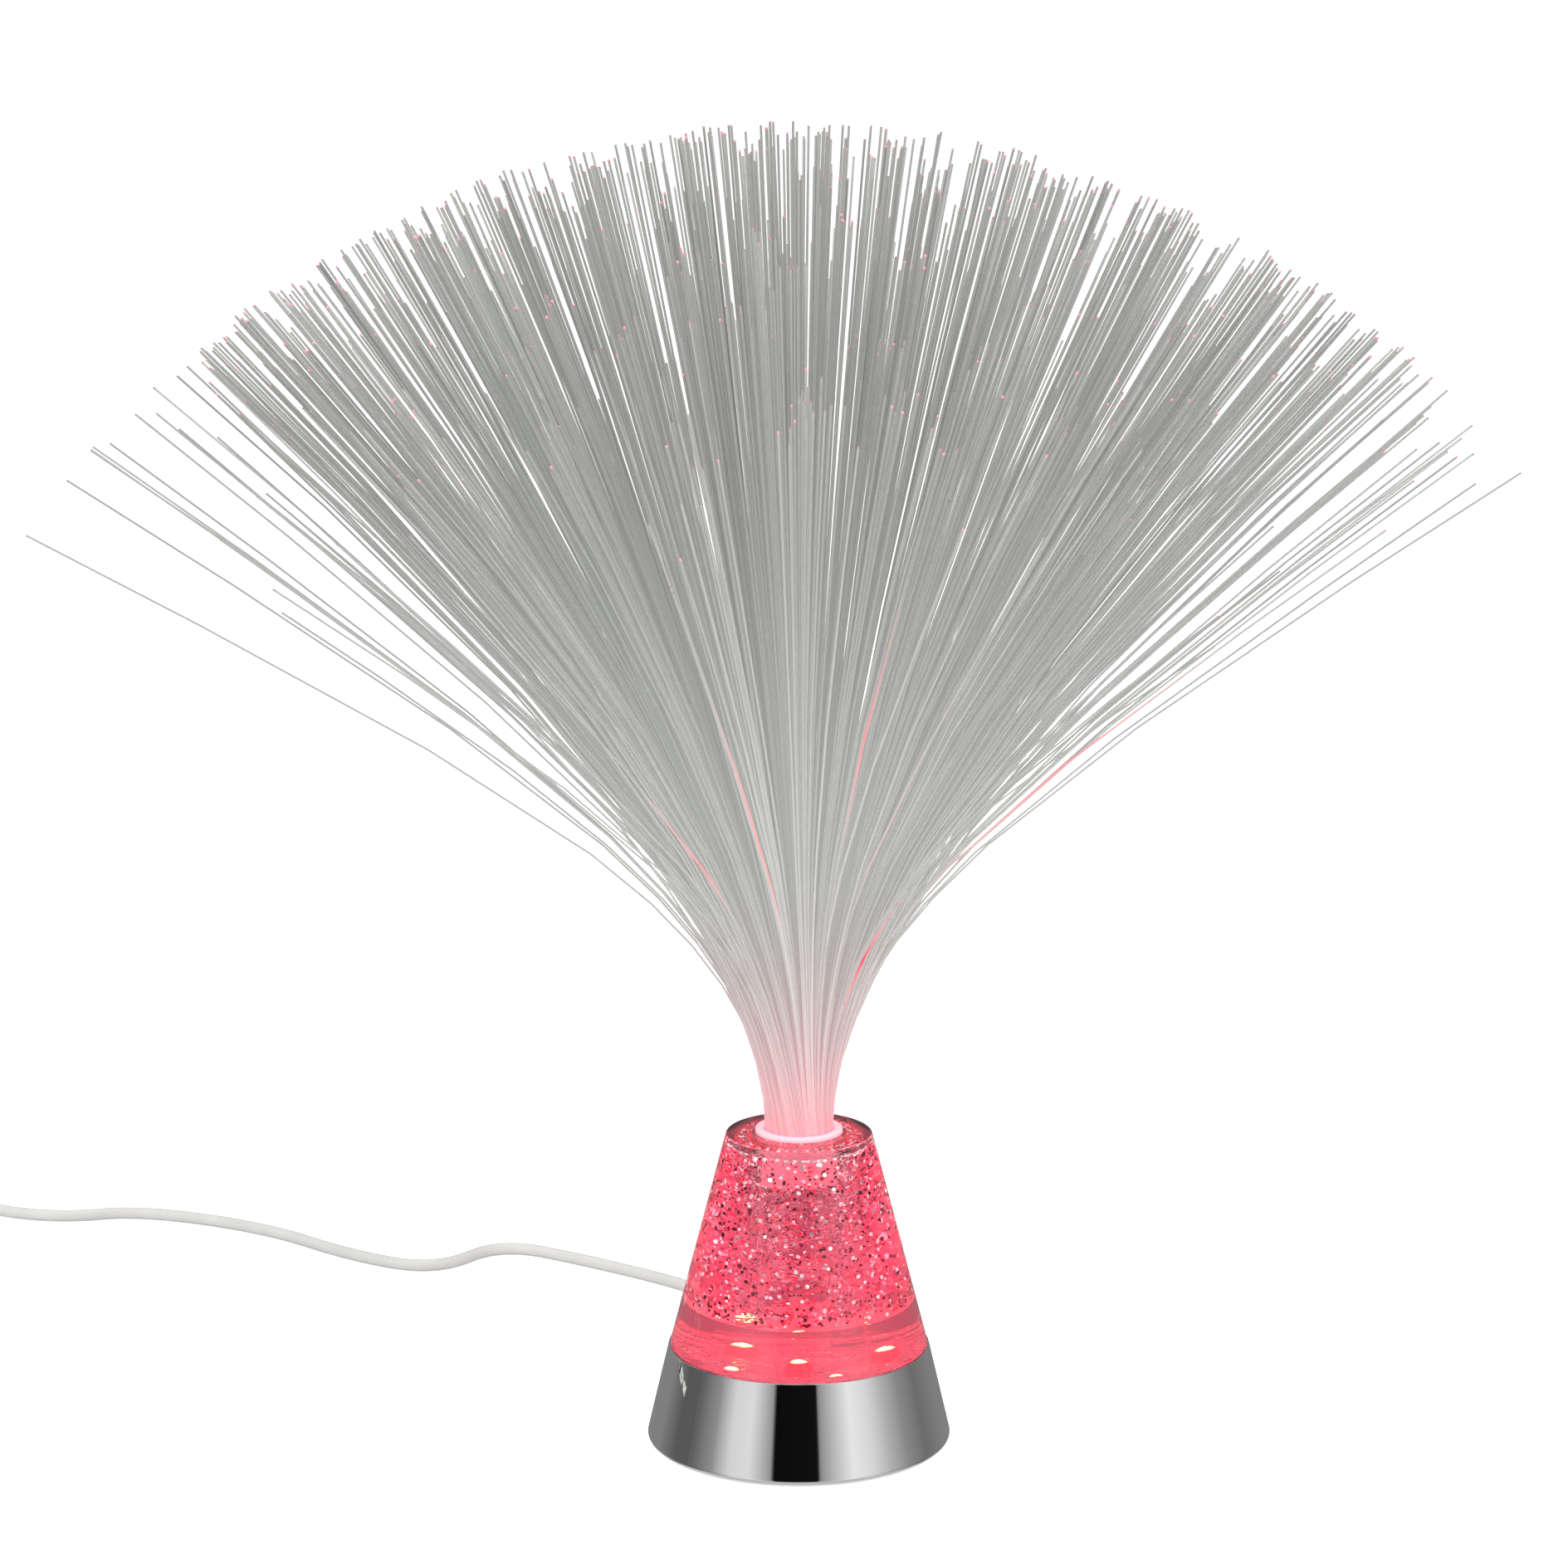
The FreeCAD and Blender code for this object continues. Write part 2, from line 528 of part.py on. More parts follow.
piece(group("carrier_screw_set", [
    screw(f"carrier_screw_{angle}", "ear_pitch_radius", angle, f"({carrier_bottom} - small_head_height)",
          "small_head_radius", "small_head_height", "small_shank_radius",
          f"(base_height - ledge_thickness - {carrier_bottom} - screw_tip_gap)")
    for angle in EAR_ANGLES]), "carrier_screws")

# Board: round circuit board with five diodes above and their resistors below
board_disc = rod("board_disc", "board_radius", "board_thickness", {"z": board_bottom})
board_holes = [rod(f"board_hole_{angle}", "small_shank_radius + screw_clearance / 2",
                   "2 * board_thickness",
                   around("post_pitch_radius", angle, f"{board_bottom} - board_thickness / 2"))
               for angle in POST_ANGLES]
piece(cut("board_cut", board_disc, board_holes), "led_board")
piece(group("board_screw_set", [
    screw(f"board_screw_{angle}", "post_pitch_radius", angle, f"({board_bottom} - small_head_height)",
          "small_head_radius", "small_head_height", "small_shank_radius",
          "(board_thickness + board_drop - screw_tip_gap)")
    for angle in POST_ANGLES]), "board_screws")


def diode(name, radius, angle):
    """Round diode: foot ring, straight body and domed top."""
    ring = rod(f"{name}_ring", "led_collar_radius", "led_collar_height", around(radius, angle, board_top))
    body = rod(f"{name}_body", "led_radius", "led_body_height", around(radius, angle, board_top))
    dome = bind(doc.addObject("Part::Sphere", f"{name}_dome"),
                around(radius, angle, f"{board_top} + led_body_height"), Radius="led_radius")
    return joined(name, [ring, body, dome])


piece(group("led_set", [diode(f"led_{i}", radius, angle)
                        for i, (radius, angle) in enumerate(led_places)]), "leds")
piece(group("resistor_set", [
    block(f"resistor_{i}", "resistor_length", "resistor_width", "resistor_height",
          {"x": "-board_radius / 2 - resistor_length / 2", "y": f"{i - 2} * 2 * resistor_width",
           "z": f"{board_bottom} - resistor_height"})
    for i in range(len(led_places))]), "led_resistors")

# Head plug: translucent white collar whose flange lies on the cone, with a lip under the sleeve
piece(turned("plug_ring", [
    (f"{plug_inside} - plug_lip", f"{bundle_bottom} - plug_lip"),
    (plug_outside, f"{bundle_bottom} - plug_lip"),
    (plug_outside, f"{cone_top} + seat_gap"),
    ("flange_radius", f"{cone_top} + seat_gap"),
    ("flange_radius", f"{cone_top} + seat_gap + flange_thickness"),
    (plug_inside, f"{cone_top} + seat_gap + flange_thickness"),
    (plug_inside, bundle_bottom),
    (f"{plug_inside} - plug_lip", bundle_bottom),
], rounds=[(4, "flange_thickness / 3")]), "head_collar")
piece(turned("sleeve_ring", [
    (sleeve_inside, f"{bundle_bottom} + seat_gap"),
    (sleeve_outside, f"{bundle_bottom} + seat_gap"),
    (sleeve_outside, cone_top),
    (sleeve_inside, cone_top),
]), "bundle_sleeve")


def strand(across, along, number, stray):
    """One lock of fibres: straight in the sleeve, opening outwards in two arcs, straight to its tip."""
    low_end = names["base_height"] + names["cone_height"] - names["plug_depth"] + names["seat_gap"]
    bend_start = names["base_height"] + names["cone_height"] - names["spread_drop"]
    length = names["fibre_length"] - names["trim_step"] * (3 * number % 5)
    offset = math.hypot(across, along)
    radius = names["strand_diameter"] / 2
    if number == 0:
        return Part.makeCylinder(radius, length, Vector(0, 0, low_end))
    outward = Vector(across, along, 0) / offset
    first_run = names["first_bend_length"]
    second_run = names["stray_bend_length"] if stray else names["second_bend_length"]
    widest = names["stray_tilt"] if stray else names["widest_tilt"]
    tilt = math.radians(widest) * offset / (STRAND_RINGS * strand_pitch())

    def at(out, up):
        return outward * out + Vector(0, 0, up)

    def bend(start, lean, run):
        """Arc of a given length that takes half of the lock's lean, from a lean that it starts with."""
        bow = run / (tilt / 2)

        def reached(angle):
            out = bow * (math.cos(lean) - math.cos(angle))
            up = bow * (math.sin(angle) - math.sin(lean))
            return start + at(out, up)

        end = reached(lean + tilt / 2)
        return Part.Arc(start, reached(lean + tilt / 4), end).toShape(), end

    root = at(offset, bend_start)
    first_bend, middle = bend(root, 0, first_run)
    second_bend, bend_end = bend(middle, tilt / 2, second_run)
    straight = length - (bend_start - low_end) - first_run - second_run
    tip = bend_end + at(math.sin(tilt), math.cos(tilt)) * straight
    route = Part.Wire([
        Part.LineSegment(at(offset, low_end), root).toShape(),
        first_bend,
        second_bend,
        Part.LineSegment(bend_end, tip).toShape(),
    ])
    ring = Part.Wire([Part.makeCircle(radius, at(offset, low_end))])
    return route.makePipeShell([ring], True, False)


def ring_places(ring):
    """Places of one six-sided ring of the close-packed bundle."""
    if ring == 0:
        return [(0.0, 0.0)]
    places = []
    for side in range(6):
        here = math.radians(60 * side)
        ahead = math.radians(60 * side + 120)
        for step in range(ring):
            reach = ring * strand_pitch()
            shift = step * strand_pitch()
            places.append((reach * math.cos(here) + shift * math.cos(ahead),
                           reach * math.sin(here) + shift * math.sin(ahead)))
    return places


def made(label, shape, place=Placement()):
    """Sub-part whose shape is worked out here from the sheet's sizes."""
    item = doc.addObject("Part::Feature", label)
    item.Shape = shape
    item.Placement = place
    return piece(item, label)


# Fibres: a close-packed bundle, one node for each ring of locks
number = 0
for ring in range(STRAND_RINGS + 1):
    strands = []
    for place, (across, along) in enumerate(ring_places(ring)):
        stray = ring == STRAND_RINGS and place % STRAY_STEP == STRAY_STEP // 2
        strands.append(strand(across, along, number, stray))
        number += 1
    label = "fibres_centre" if ring == 0 else f"fibres_ring_{ring}"
    made(label, strands[0] if ring == 0 else Part.makeCompound(strands))

# Strain relief: rubber bush in the skirt's wall, tapering out along the cord
exit_wall = skirt_inside("(cord_exit_height - relief_flange_radius)")
outer_wall = f"({exit_wall} + skirt_wall)"
inner_wall = skirt_inside("(cord_exit_height + relief_flange_radius)")
relief_bore = "(cord_diameter / 2 + bore_clearance)"


def lying(name, outline):
    """Turned body laid along +Y at the cord's height: its outline gives (radius, distance)."""
    body = turned(name, outline)
    body.Placement = Placement(Vector(), Rotation(Vector(1, 0, 0), -90))
    return bind(body, {"z": "cord_exit_height"})


piece(lying("relief_bush", [
    (relief_bore, f"{inner_wall} - relief_flange_thickness"),
    ("relief_flange_radius - relief_flange_step", f"{inner_wall} - relief_flange_thickness"),
    ("relief_flange_radius - relief_flange_step", inner_wall),
    ("relief_neck_radius", inner_wall),
    ("relief_neck_radius", f"{outer_wall} + relief_gap"),
    ("relief_flange_radius", f"{outer_wall} + relief_gap"),
    ("relief_flange_radius", f"{outer_wall} + relief_gap + relief_flange_thickness"),
    ("relief_root_radius", f"{outer_wall} + relief_gap + relief_flange_thickness"),
    ("relief_tip_radius", "relief_end"),
    (relief_bore, "relief_end"),
]), "strain_relief")
piece(rod("cord_stub", "cord_diameter / 2", "relief_end - cord_inner_end",
          {"y": "cord_inner_end", "z": "cord_exit_height"}, backward), "cord_inner")


def tube(route, radius):
    """Round tube along a wire of runs and tangent arcs."""
    first = route.OrderedEdges[0]
    start = first.valueAt(first.FirstParameter)
    ring = Part.Wire([Part.makeCircle(radius, start, first.tangentAt(first.FirstParameter))])
    return route.makePipeShell([ring], True, False)


def core(side):
    """One core of the cord: out of the cord's end, then up to the board."""
    x = side * names["wire_spread"]
    bend = names["wire_bend"]
    start = Vector(x, names["cord_inner_end"], names["cord_exit_height"])
    turn = start - Vector(0, bend, 0)
    corner = Vector(x, turn.y - bend, turn.z + bend)
    centre = Vector(x, turn.y, corner.z)
    middle = centre + Vector(0, -math.sqrt(0.5), -math.sqrt(0.5)) * bend
    under_board = (names["base_height"] - names["spigot_depth"] - names["carrier_gap"]
                   - names["carrier_thickness"] - names["board_drop"] - names["board_thickness"])
    route = Part.Wire([
        Part.LineSegment(start, turn).toShape(),
        Part.Arc(turn, middle, corner).toShape(),
        Part.LineSegment(corner, Vector(x, corner.y, under_board)).toShape(),
    ])
    return tube(route, names["wire_radius"])


made("lead_wire_red", core(1))
made("lead_wire_black", core(-1))

# Free cord: points of its route, chosen by hand, in millimetres
SWITCH_END = Vector(-262, 193, 0)
cord_radius = names["cord_diameter"] / 2
cord_rest = names["cord_lift"] + cord_radius
cord_axis = names["case_lift"] + names["case_height"] / 2
case_far_end = SWITCH_END.x - names["case_length"]
coil_rest = names["coil_lift"] + cord_radius
coil_reach = names["coil_bend"] + names["coil_turns"] * names["coil_pitch"]
coil_centre = Vector(case_far_end - names["coil_shift"],
                     SWITCH_END.y - names["case_width"] / 2 - names["coil_gap"] - cord_radius - coil_reach,
                     0)
coil_side = coil_centre.x - coil_reach
lead_points = [
    Vector(0, names["relief_end"], names["cord_exit_height"]),
    Vector(0, 61, names["cord_exit_height"]),
    Vector(-3.5, 78, cord_rest),
    Vector(-12.5, 98, cord_rest),
    Vector(-31, 121, cord_rest),
    Vector(-60, 143.5, cord_rest),
    Vector(-87, 160.5, cord_rest),
    Vector(-104, 135.5, cord_rest),
    Vector(-129, 148, cord_rest),
    Vector(-158, 176, cord_rest),
    Vector(-197, 192.7, cord_rest),
    Vector(-218, 186, cord_rest),
    Vector(-239, 192, cord_rest),
    Vector(-252, SWITCH_END.y, cord_axis),
    Vector(SWITCH_END.x - names["case_cord_depth"], SWITCH_END.y, cord_axis),
]
tail_in_points = [
    Vector(case_far_end + names["case_cord_depth"], SWITCH_END.y, cord_axis),
    Vector(case_far_end - 14, SWITCH_END.y, cord_axis),
    Vector(coil_side + 3, SWITCH_END.y - 15, 3.6),
    Vector(coil_side, coil_centre.y + 18, coil_rest),
    Vector(coil_side, coil_centre.y + names["cord_diameter"], coil_rest),
]
plug_axis = names["grip_lift"] + names["grip_height"] / 2
plug_mouth = coil_centre.y - coil_reach - cord_radius - names["grip_gap"]
tail_out_points = [
    Vector(coil_side, coil_centre.y - names["cord_diameter"], coil_rest + names["coil_pitch"]),
    Vector(coil_side, coil_centre.y - 13, coil_rest + names["coil_pitch"]),
    Vector(coil_side - 3, plug_mouth + 11, plug_axis),
    Vector(coil_side - 3, plug_mouth, plug_axis),
]
ARC_SHARE = 0.45


def rounded_route(points, name):
    """Runs between the points, joined by arcs as large as the shorter run at each point allows."""
    edges = []
    radii = []
    start = points[0]
    for before, corner, after in zip(points, points[1:], points[2:]):
        reach = ARC_SHARE * min(before.distanceToPoint(corner), corner.distanceToPoint(after))
        back = (before - corner).normalize()
        ahead = (after - corner).normalize()
        half_turn = (math.pi - back.getAngle(ahead)) / 2
        radius = reach / math.tan(half_turn)
        bisector = (back + ahead).normalize()
        middle = corner + bisector * (radius / math.cos(half_turn) - radius)
        edges.append(Part.LineSegment(start, corner + back * reach).toShape())
        edges.append(Part.Arc(corner + back * reach, middle, corner + ahead * reach).toShape())
        start = corner + ahead * reach
        radii.append(round(radius, 1))
    edges.append(Part.LineSegment(start, points[-1]).toShape())
    print(name, "radii", radii)
    return Part.Wire(edges)


def cord_tube(route, name):
    """Cord along a route, with its volume compared with section times length."""
    solid = tube(route, cord_radius)
    expected = math.pi * cord_radius ** 2 * route.Length
    print(name, "length", round(route.Length, 1), "volume ratio", round(solid.Volume / expected, 4))
    return solid


def half_turn(start, side, radius):
    """Level half circle of the coil, counter-clockwise, from its left (-1) or right (1) side."""
    middle = start + Vector(-side * radius, side * radius, 0)
    return Part.Arc(start, middle, start + Vector(-side * 2 * radius, 0, 0)).toShape()


def climb(start, end, heading):
    """Half turn that rises one layer, as two tangent arcs."""
    reach = (end - start).Length / 2
    near = start + heading * reach
    far = end + heading * reach
    joint = (near + far) / 2

    def quarter(first, corner, last):
        chord = (first + last) / 2
        sag = (corner - chord).Length
        half = (last - first).Length / 2
        radius = half / sag * math.hypot(half, sag)
        centre = chord + (chord - corner) * (half ** 2 / sag ** 2)
        return Part.Arc(first, centre + (corner - centre).normalize() * radius, last).toShape()

    return [quarter(start, near, joint), quarter(joint, far, end)]


def coil_route():
    """Two layers: a spiral in on the table, a climb in the innermost half turn, a spiral out on top."""
    pitch = names["coil_pitch"]
    lead_in = Vector(0, names["cord_diameter"], 0)
    here = Vector(coil_side, coil_centre.y, coil_rest)
    edges = [Part.LineSegment(here + lead_in, here).toShape()]
    half_turns = 2 * int(names["coil_turns"])
    side = -1
    for i in range(half_turns):
        radius = coil_reach - i * pitch / 2
        edges.append(half_turn(here, side, radius))
        here = here + Vector(-side * 2 * radius, 0, 0)
        side = -side
    across = here + Vector(2 * names["coil_bend"], 0, pitch)
    edges.extend(climb(here, across, Vector(0, -1, 0)))
    here = across
    side = 1
    for i in range(half_turns - 1):
        radius = names["coil_bend"] + (i + 1) * pitch / 2
        edges.append(half_turn(here, side, radius))
        here = here + Vector(-side * 2 * radius, 0, 0)
        side = -side
    edges.append(Part.LineSegment(here, here - lead_in).toShape())
    return Part.Wire(edges)


def least_gap(route, radius):
    """Least gap between stretches of a tube that lie more than five diameters apart along it."""
    count = int(route.Length)
    points = route.discretize(Number=count)
    apart = int(10 * radius)
    nearest = min(points[i].distanceToPoint(points[j])
                  for i in range(count) for j in range(i + apart, count))
    return nearest - 2 * radius


made("cord_lead", cord_tube(rounded_route(lead_points, "cord_lead"), "cord_lead"))
made("cord_tail_in", cord_tube(rounded_route(tail_in_points, "cord_tail_in"), "cord_tail_in"))
winding = coil_route()
made("cord_coil", cord_tube(winding, "cord_coil"))
print("cord_coil least gap to itself", round(least_gap(winding, cord_radius), 2))
made("cord_tail_out", cord_tube(rounded_route(tail_out_points, "cord_tail_out"), "cord_tail_out"))


def rounded_box(low, high, radius, direction):
    """Box from corner to corner whose edges along one direction are rounded."""
    extent = high - low
    solid = Part.makeBox(extent.x, extent.y, extent.z, low)
    edges = [e for e in solid.Edges if e.tangentAt(e.FirstParameter).cross(direction).Length < 0.001]
    return solid.makeFillet(radius, edges)


def coil_tie():
    """Strap closed round the right-hand side of the coil."""
    room = names["tie_clearance"]
    wall = names["tie_thickness"]
    half = names["tie_width"] / 2
    inner = coil_centre.x + math.sqrt((names["coil_bend"] - cord_radius) ** 2 - half ** 2) - room
    outer = coil_centre.x + coil_reach + cord_radius + room
    low_in = Vector(inner, coil_centre.y - half, names["coil_lift"] - room)
    high_in = Vector(outer, coil_centre.y + half,
                     coil_rest + names["coil_pitch"] + cord_radius + room)
    grow = Vector(wall, 0, wall)
    across = Vector(0, 1, 0)
    return rounded_box(low_in - grow, high_in + grow, 2 * wall, across).cut(
        rounded_box(low_in, high_in, wall, across))


made("coil_tie", coil_tie())


# Switch: two half shells on the cord, a rocker with its brass bridge, terminals, wires and screws
case_middle = Vector(SWITCH_END.x - names["case_length"] / 2, SWITCH_END.y, names["case_lift"])
case_split = names["case_height"] / 2
pivot = case_middle + Vector(0, 0, names["rocker_pivot_height"])


def in_case(x, y, z):
    return case_middle + Vector(x, y, z)


def case_box(x, y, low, high):
    """Box centred over the switch's middle, with half sizes x and y, between two heights."""
    return Part.makeBox(2 * x, 2 * y, high - low, in_case(-x, -y, low))


def case_rod(radius, length, x, y, z, direction):
    return Part.makeCylinder(radius, length, in_case(x, y, z), direction)


half_length = names["case_length"] / 2
half_width = names["case_width"] / 2
wall = names["case_wall"]
upright = Vector(0, 0, 1)
lengthways = Vector(1, 0, 0)
crossways = Vector(0, 1, 0)
tilt = math.radians(names["rocker_tilt"])
opening_x = (names["rocker_length"] / 2 * math.cos(tilt) + names["rocker_rise"] * math.sin(tilt)
             + names["rocker_clearance"])
opening_y = names["rocker_width"] / 2 + names["rocker_clearance"]
cord_bore = case_rod(cord_radius + names["bore_clearance"], names["case_length"] + 2 * wall,
                     -half_length - wall, 0, case_split, lengthways)
screw_spots = [(names["case_screw_offset"], names["case_screw_side"]),
               (-names["case_screw_offset"], -names["case_screw_side"])]


def half_case(low, high, hollow_low, hollow_high):
    """One half of the switch's case, hollowed between two heights."""
    outside = rounded_box(in_case(-half_length, -half_width, low), in_case(half_length, half_width, high),
                          names["case_round"], upright)
    hollow = case_box(half_length - wall, half_width - wall, hollow_low, hollow_high)
    return outside.cut(hollow).cut(cord_bore)


def switch_case_bottom():
    shell = half_case(0, case_split, wall, case_split)
    for x, y in screw_spots:
        post = case_rod(names["case_post_radius"], case_split - wall / 2, x, y, wall / 2, upright)
        shell = shell.fuse(post)
        shell = shell.cut(case_rod(names["small_shank_radius"] + names["screw_clearance"] / 2,
                                   case_split, x, y, 0, upright))
        shell = shell.cut(case_rod(names["small_head_radius"] + names["screw_clearance"] / 2,
                                   names["small_head_height"], x, y, 0, upright))
    return shell.cut(cord_bore)


def switch_case_top():
    height = names["case_height"]
    shell = half_case(case_split, height, case_split, height - wall)
    for side in (-1, 1):
        y = side * (opening_y + names["cheek_thickness"] / 2)
        cheek = Part.makeBox(4 * names["pivot_radius"], names["cheek_thickness"],
                             height - wall / 2 - case_split,
                             in_case(-2 * names["pivot_radius"], y - names["cheek_thickness"] / 2,
                                     case_split))
        shell = shell.fuse(cheek)
    for x, y in screw_spots:
        post = case_rod(names["case_post_radius"], height - wall / 2 - case_split, x, y,
                        case_split, upright)
        shell = shell.fuse(post)
        shell = shell.cut(case_rod(names["small_shank_radius"], height - 1.5 * wall - case_split,
                                   x, y, case_split, upright))
    pivot_hole = case_rod(names["pivot_radius"] + names["bore_clearance"], 2 * half_width - wall,
                          0, -half_width + wall / 2, names["rocker_pivot_height"], crossways)
    opening = case_box(opening_x, opening_y, height - 2 * wall, height + wall)
    return shell.cut(pivot_hole).cut(opening).cut(cord_bore)


made("switch_case_bottom", switch_case_bottom())
made("switch_case_top", switch_case_top())


def switch_screw(x, y):
    head = case_rod(names["small_head_radius"], names["small_head_height"], x, y, 0, upright)
    length = names["case_height"] - 2 * wall - names["small_head_height"]
    shank = case_rod(names["small_shank_radius"], length, x, y, names["small_head_height"], upright)
    return head.fuse(shank)


made("switch_screws", Part.makeCompound([switch_screw(x, y) for x, y in screw_spots]))


def switch_rocker():
    """Rocker with a shallow V on top and a pivot stub on each side."""
    half = names["rocker_length"] / 2
    rise = names["rocker_rise"]
    depth = names["rocker_depth"]
    side_y = -names["rocker_width"] / 2
    flat = names["rocker_flat"] / 2
    corners = [(-half, -depth / 2), (-flat, -depth), (flat, -depth), (half, -depth / 2),
               (half, rise), (0, rise - half * math.tan(tilt)), (-half, rise)]
    points = [pivot + Vector(x, side_y, z) for x, z in corners]
    face = Part.Face(Part.makePolygon([*points, points[0]]))
    body = face.extrude(Vector(0, names["rocker_width"], 0))
    stubs = Part.makeCylinder(names["pivot_radius"], names["rocker_width"] + 2 * names["pivot_length"],
                              pivot + Vector(0, side_y - names["pivot_length"], 0), crossways)
    return body.fuse(stubs)


def contact_bridge():
    """Brass strip under the rocker that joins the terminals."""
    corner = pivot + Vector(-names["bridge_length"] / 2, bridge_side,
                            -names["rocker_depth"] - names["bridge_thickness"])
    return Part.makeBox(names["bridge_length"], names["bridge_width"], names["bridge_thickness"], corner)


# The rocker rests pressed down at its -X end
lean = Placement(Vector(), Rotation(crossways, -names["rocker_tilt"]), pivot)
bridge_side = names["bridge_offset"] - names["bridge_width"] / 2
made("switch_rocker", switch_rocker(), lean)
made("contact_bridge", contact_bridge(), lean)
terminal_x = names["bridge_length"] / 2 + names["terminal_reach"]
core_reach = half_length - names["case_cord_depth"]
terminals = []
wires = [case_rod(names["switch_core_radius"], 2 * core_reach, -core_reach,
                  -names["through_core_side"], case_split - names["through_core_drop"], lengthways)]
for side in (-1, 1):
    middle_x = side * (terminal_x - names["terminal_length"] / 2)
    terminals.append(Part.makeBox(names["terminal_length"], names["bridge_width"],
                                  names["terminal_height"],
                                  in_case(middle_x - names["terminal_length"] / 2, bridge_side, wall)))
    wires.append(case_rod(names["switch_core_radius"], core_reach - terminal_x, side * terminal_x,
                          names["cut_core_side"], case_split - names["cut_core_drop"],
                          lengthways * side))
made("switch_terminals", Part.makeCompound(terminals))
made("switch_wires", Part.makeCompound(wires))


# Connector: moulded grip, metal shell with its windows, white tongue and four contacts
mouth = tail_out_points[-1]


def ahead_box(width, height, start, length, drop=0.0):
    """Box along the connector, centred across, that starts a distance past the cord's end."""
    return Part.makeBox(width, length, height,
                        mouth + Vector(-width / 2, -start - length, -height / 2 + drop))


grip_end = names["grip_length"]
shell_start = grip_end - names["shell_seat"]
shell_reach = names["shell_seat"] + names["shell_length"]
shell_box = ahead_box(names["shell_width"], names["shell_height"], shell_start, shell_reach)


def plug_grip():
    corner = mouth + Vector(-names["grip_width"] / 2, -grip_end, -names["grip_height"] / 2)
    far = mouth + Vector(names["grip_width"] / 2, 0, names["grip_height"] / 2)
    return rounded_box(corner, far, names["grip_round"], crossways).cut(shell_box)


def plug_shell():
    inside = ahead_box(names["shell_width"] - 2 * names["shell_wall"],
                       names["shell_height"] - 2 * names["shell_wall"], shell_start,
                       shell_reach + names["shell_wall"])
    shell = shell_box.cut(inside)
    window = names["shell_window"]
    for side in (-1, 1):
        hole = Part.makeBox(window, window, 2 * names["shell_height"],
                            mouth + Vector(side * names["shell_width"] / 4 - window / 2,
                                           -grip_end - names["shell_length"] / 2,
                                           -names["shell_height"]))
        shell = shell.cut(hole)
    return shell


tongue_width = names["shell_width"] - 2 * names["shell_wall"] - 2 * names["tongue_clearance"]
tongue_drop = (names["shell_height"] / 2 - names["shell_wall"] - names["tongue_height"] / 2
               - names["tongue_clearance"])
tongue_length = shell_reach - names["tongue_setback"]
made("plug_grip", plug_grip())
made("plug_shell", plug_shell())
made("plug_tongue", ahead_box(tongue_width, names["tongue_height"], shell_start, tongue_length,
                              tongue_drop))
contact_drop = tongue_drop - names["tongue_height"] / 2 - names["contact_thickness"] / 2
contact_start = shell_start + tongue_length - names["contact_setback"] - names["contact_length"]
contacts = []
for i in range(4):
    strip = ahead_box(names["contact_width"], names["contact_thickness"], contact_start,
                      names["contact_length"], contact_drop)
    strip.translate(Vector((i - 1.5) * names["contact_pitch"], 0, 0))
    contacts.append(strip)
made("plug_contacts", Part.makeCompound(contacts))

# Check every object, then write each sub-part
doc.recompute()
for item in doc.Objects:
    if {"Invalid", "Error"} & set(item.State):
        raise RuntimeError(f"{item.Label} failed: {item.State}")
for item in parts:
    if item.Shape.isNull() or not item.Shape.isValid() or not item.Shape.Solids:
        raise RuntimeError(f"{item.Label} has no sound solid")
os.makedirs("parts", exist_ok=True)
for item in parts:
    item.Shape.exportStep(f"parts/{item.Label}.step")
print(len(parts), "sub-parts written")
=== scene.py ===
import math
import random

import bmesh
import bpy
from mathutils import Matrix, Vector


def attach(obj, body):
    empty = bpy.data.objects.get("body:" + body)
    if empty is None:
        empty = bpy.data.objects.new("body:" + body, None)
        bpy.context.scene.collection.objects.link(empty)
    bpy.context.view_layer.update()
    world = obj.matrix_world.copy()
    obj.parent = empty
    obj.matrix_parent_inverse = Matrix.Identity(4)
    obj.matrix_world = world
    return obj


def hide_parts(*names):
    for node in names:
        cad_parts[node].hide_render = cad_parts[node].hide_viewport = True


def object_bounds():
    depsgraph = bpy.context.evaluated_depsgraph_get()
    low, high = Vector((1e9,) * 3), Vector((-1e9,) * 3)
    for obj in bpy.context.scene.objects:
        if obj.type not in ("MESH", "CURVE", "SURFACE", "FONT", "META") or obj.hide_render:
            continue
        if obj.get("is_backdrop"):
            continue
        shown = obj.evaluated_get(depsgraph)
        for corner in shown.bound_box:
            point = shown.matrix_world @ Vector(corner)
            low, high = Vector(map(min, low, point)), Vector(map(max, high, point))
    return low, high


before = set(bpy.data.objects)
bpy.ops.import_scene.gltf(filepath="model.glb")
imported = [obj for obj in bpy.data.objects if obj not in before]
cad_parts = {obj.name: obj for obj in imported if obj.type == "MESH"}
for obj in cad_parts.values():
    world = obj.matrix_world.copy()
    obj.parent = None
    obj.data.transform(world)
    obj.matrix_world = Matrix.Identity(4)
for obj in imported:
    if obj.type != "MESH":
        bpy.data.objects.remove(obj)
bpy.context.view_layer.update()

bpy.ops.object.select_all(action="DESELECT")


# Foot pad. The real one is a soft disc of closed-cell EVA foam, punched from
# sheet and glued under the base so that the lamp doesn't scratch a table.

def linear(code):
    """Linear red, green, blue and alpha of an sRGB hex colour."""
    channels = [int(code[i:i + 2], 16) / 255 for i in (1, 3, 5)]
    return [c / 12.92 if c <= 0.04045 else ((c + 0.055) / 1.055) ** 2.4 for c in channels] + [1.0]


def new_finish(name):
    """An empty node material."""
    finish = bpy.data.materials.new(name)
    finish.use_nodes = True
    finish.node_tree.nodes.clear()
    return finish


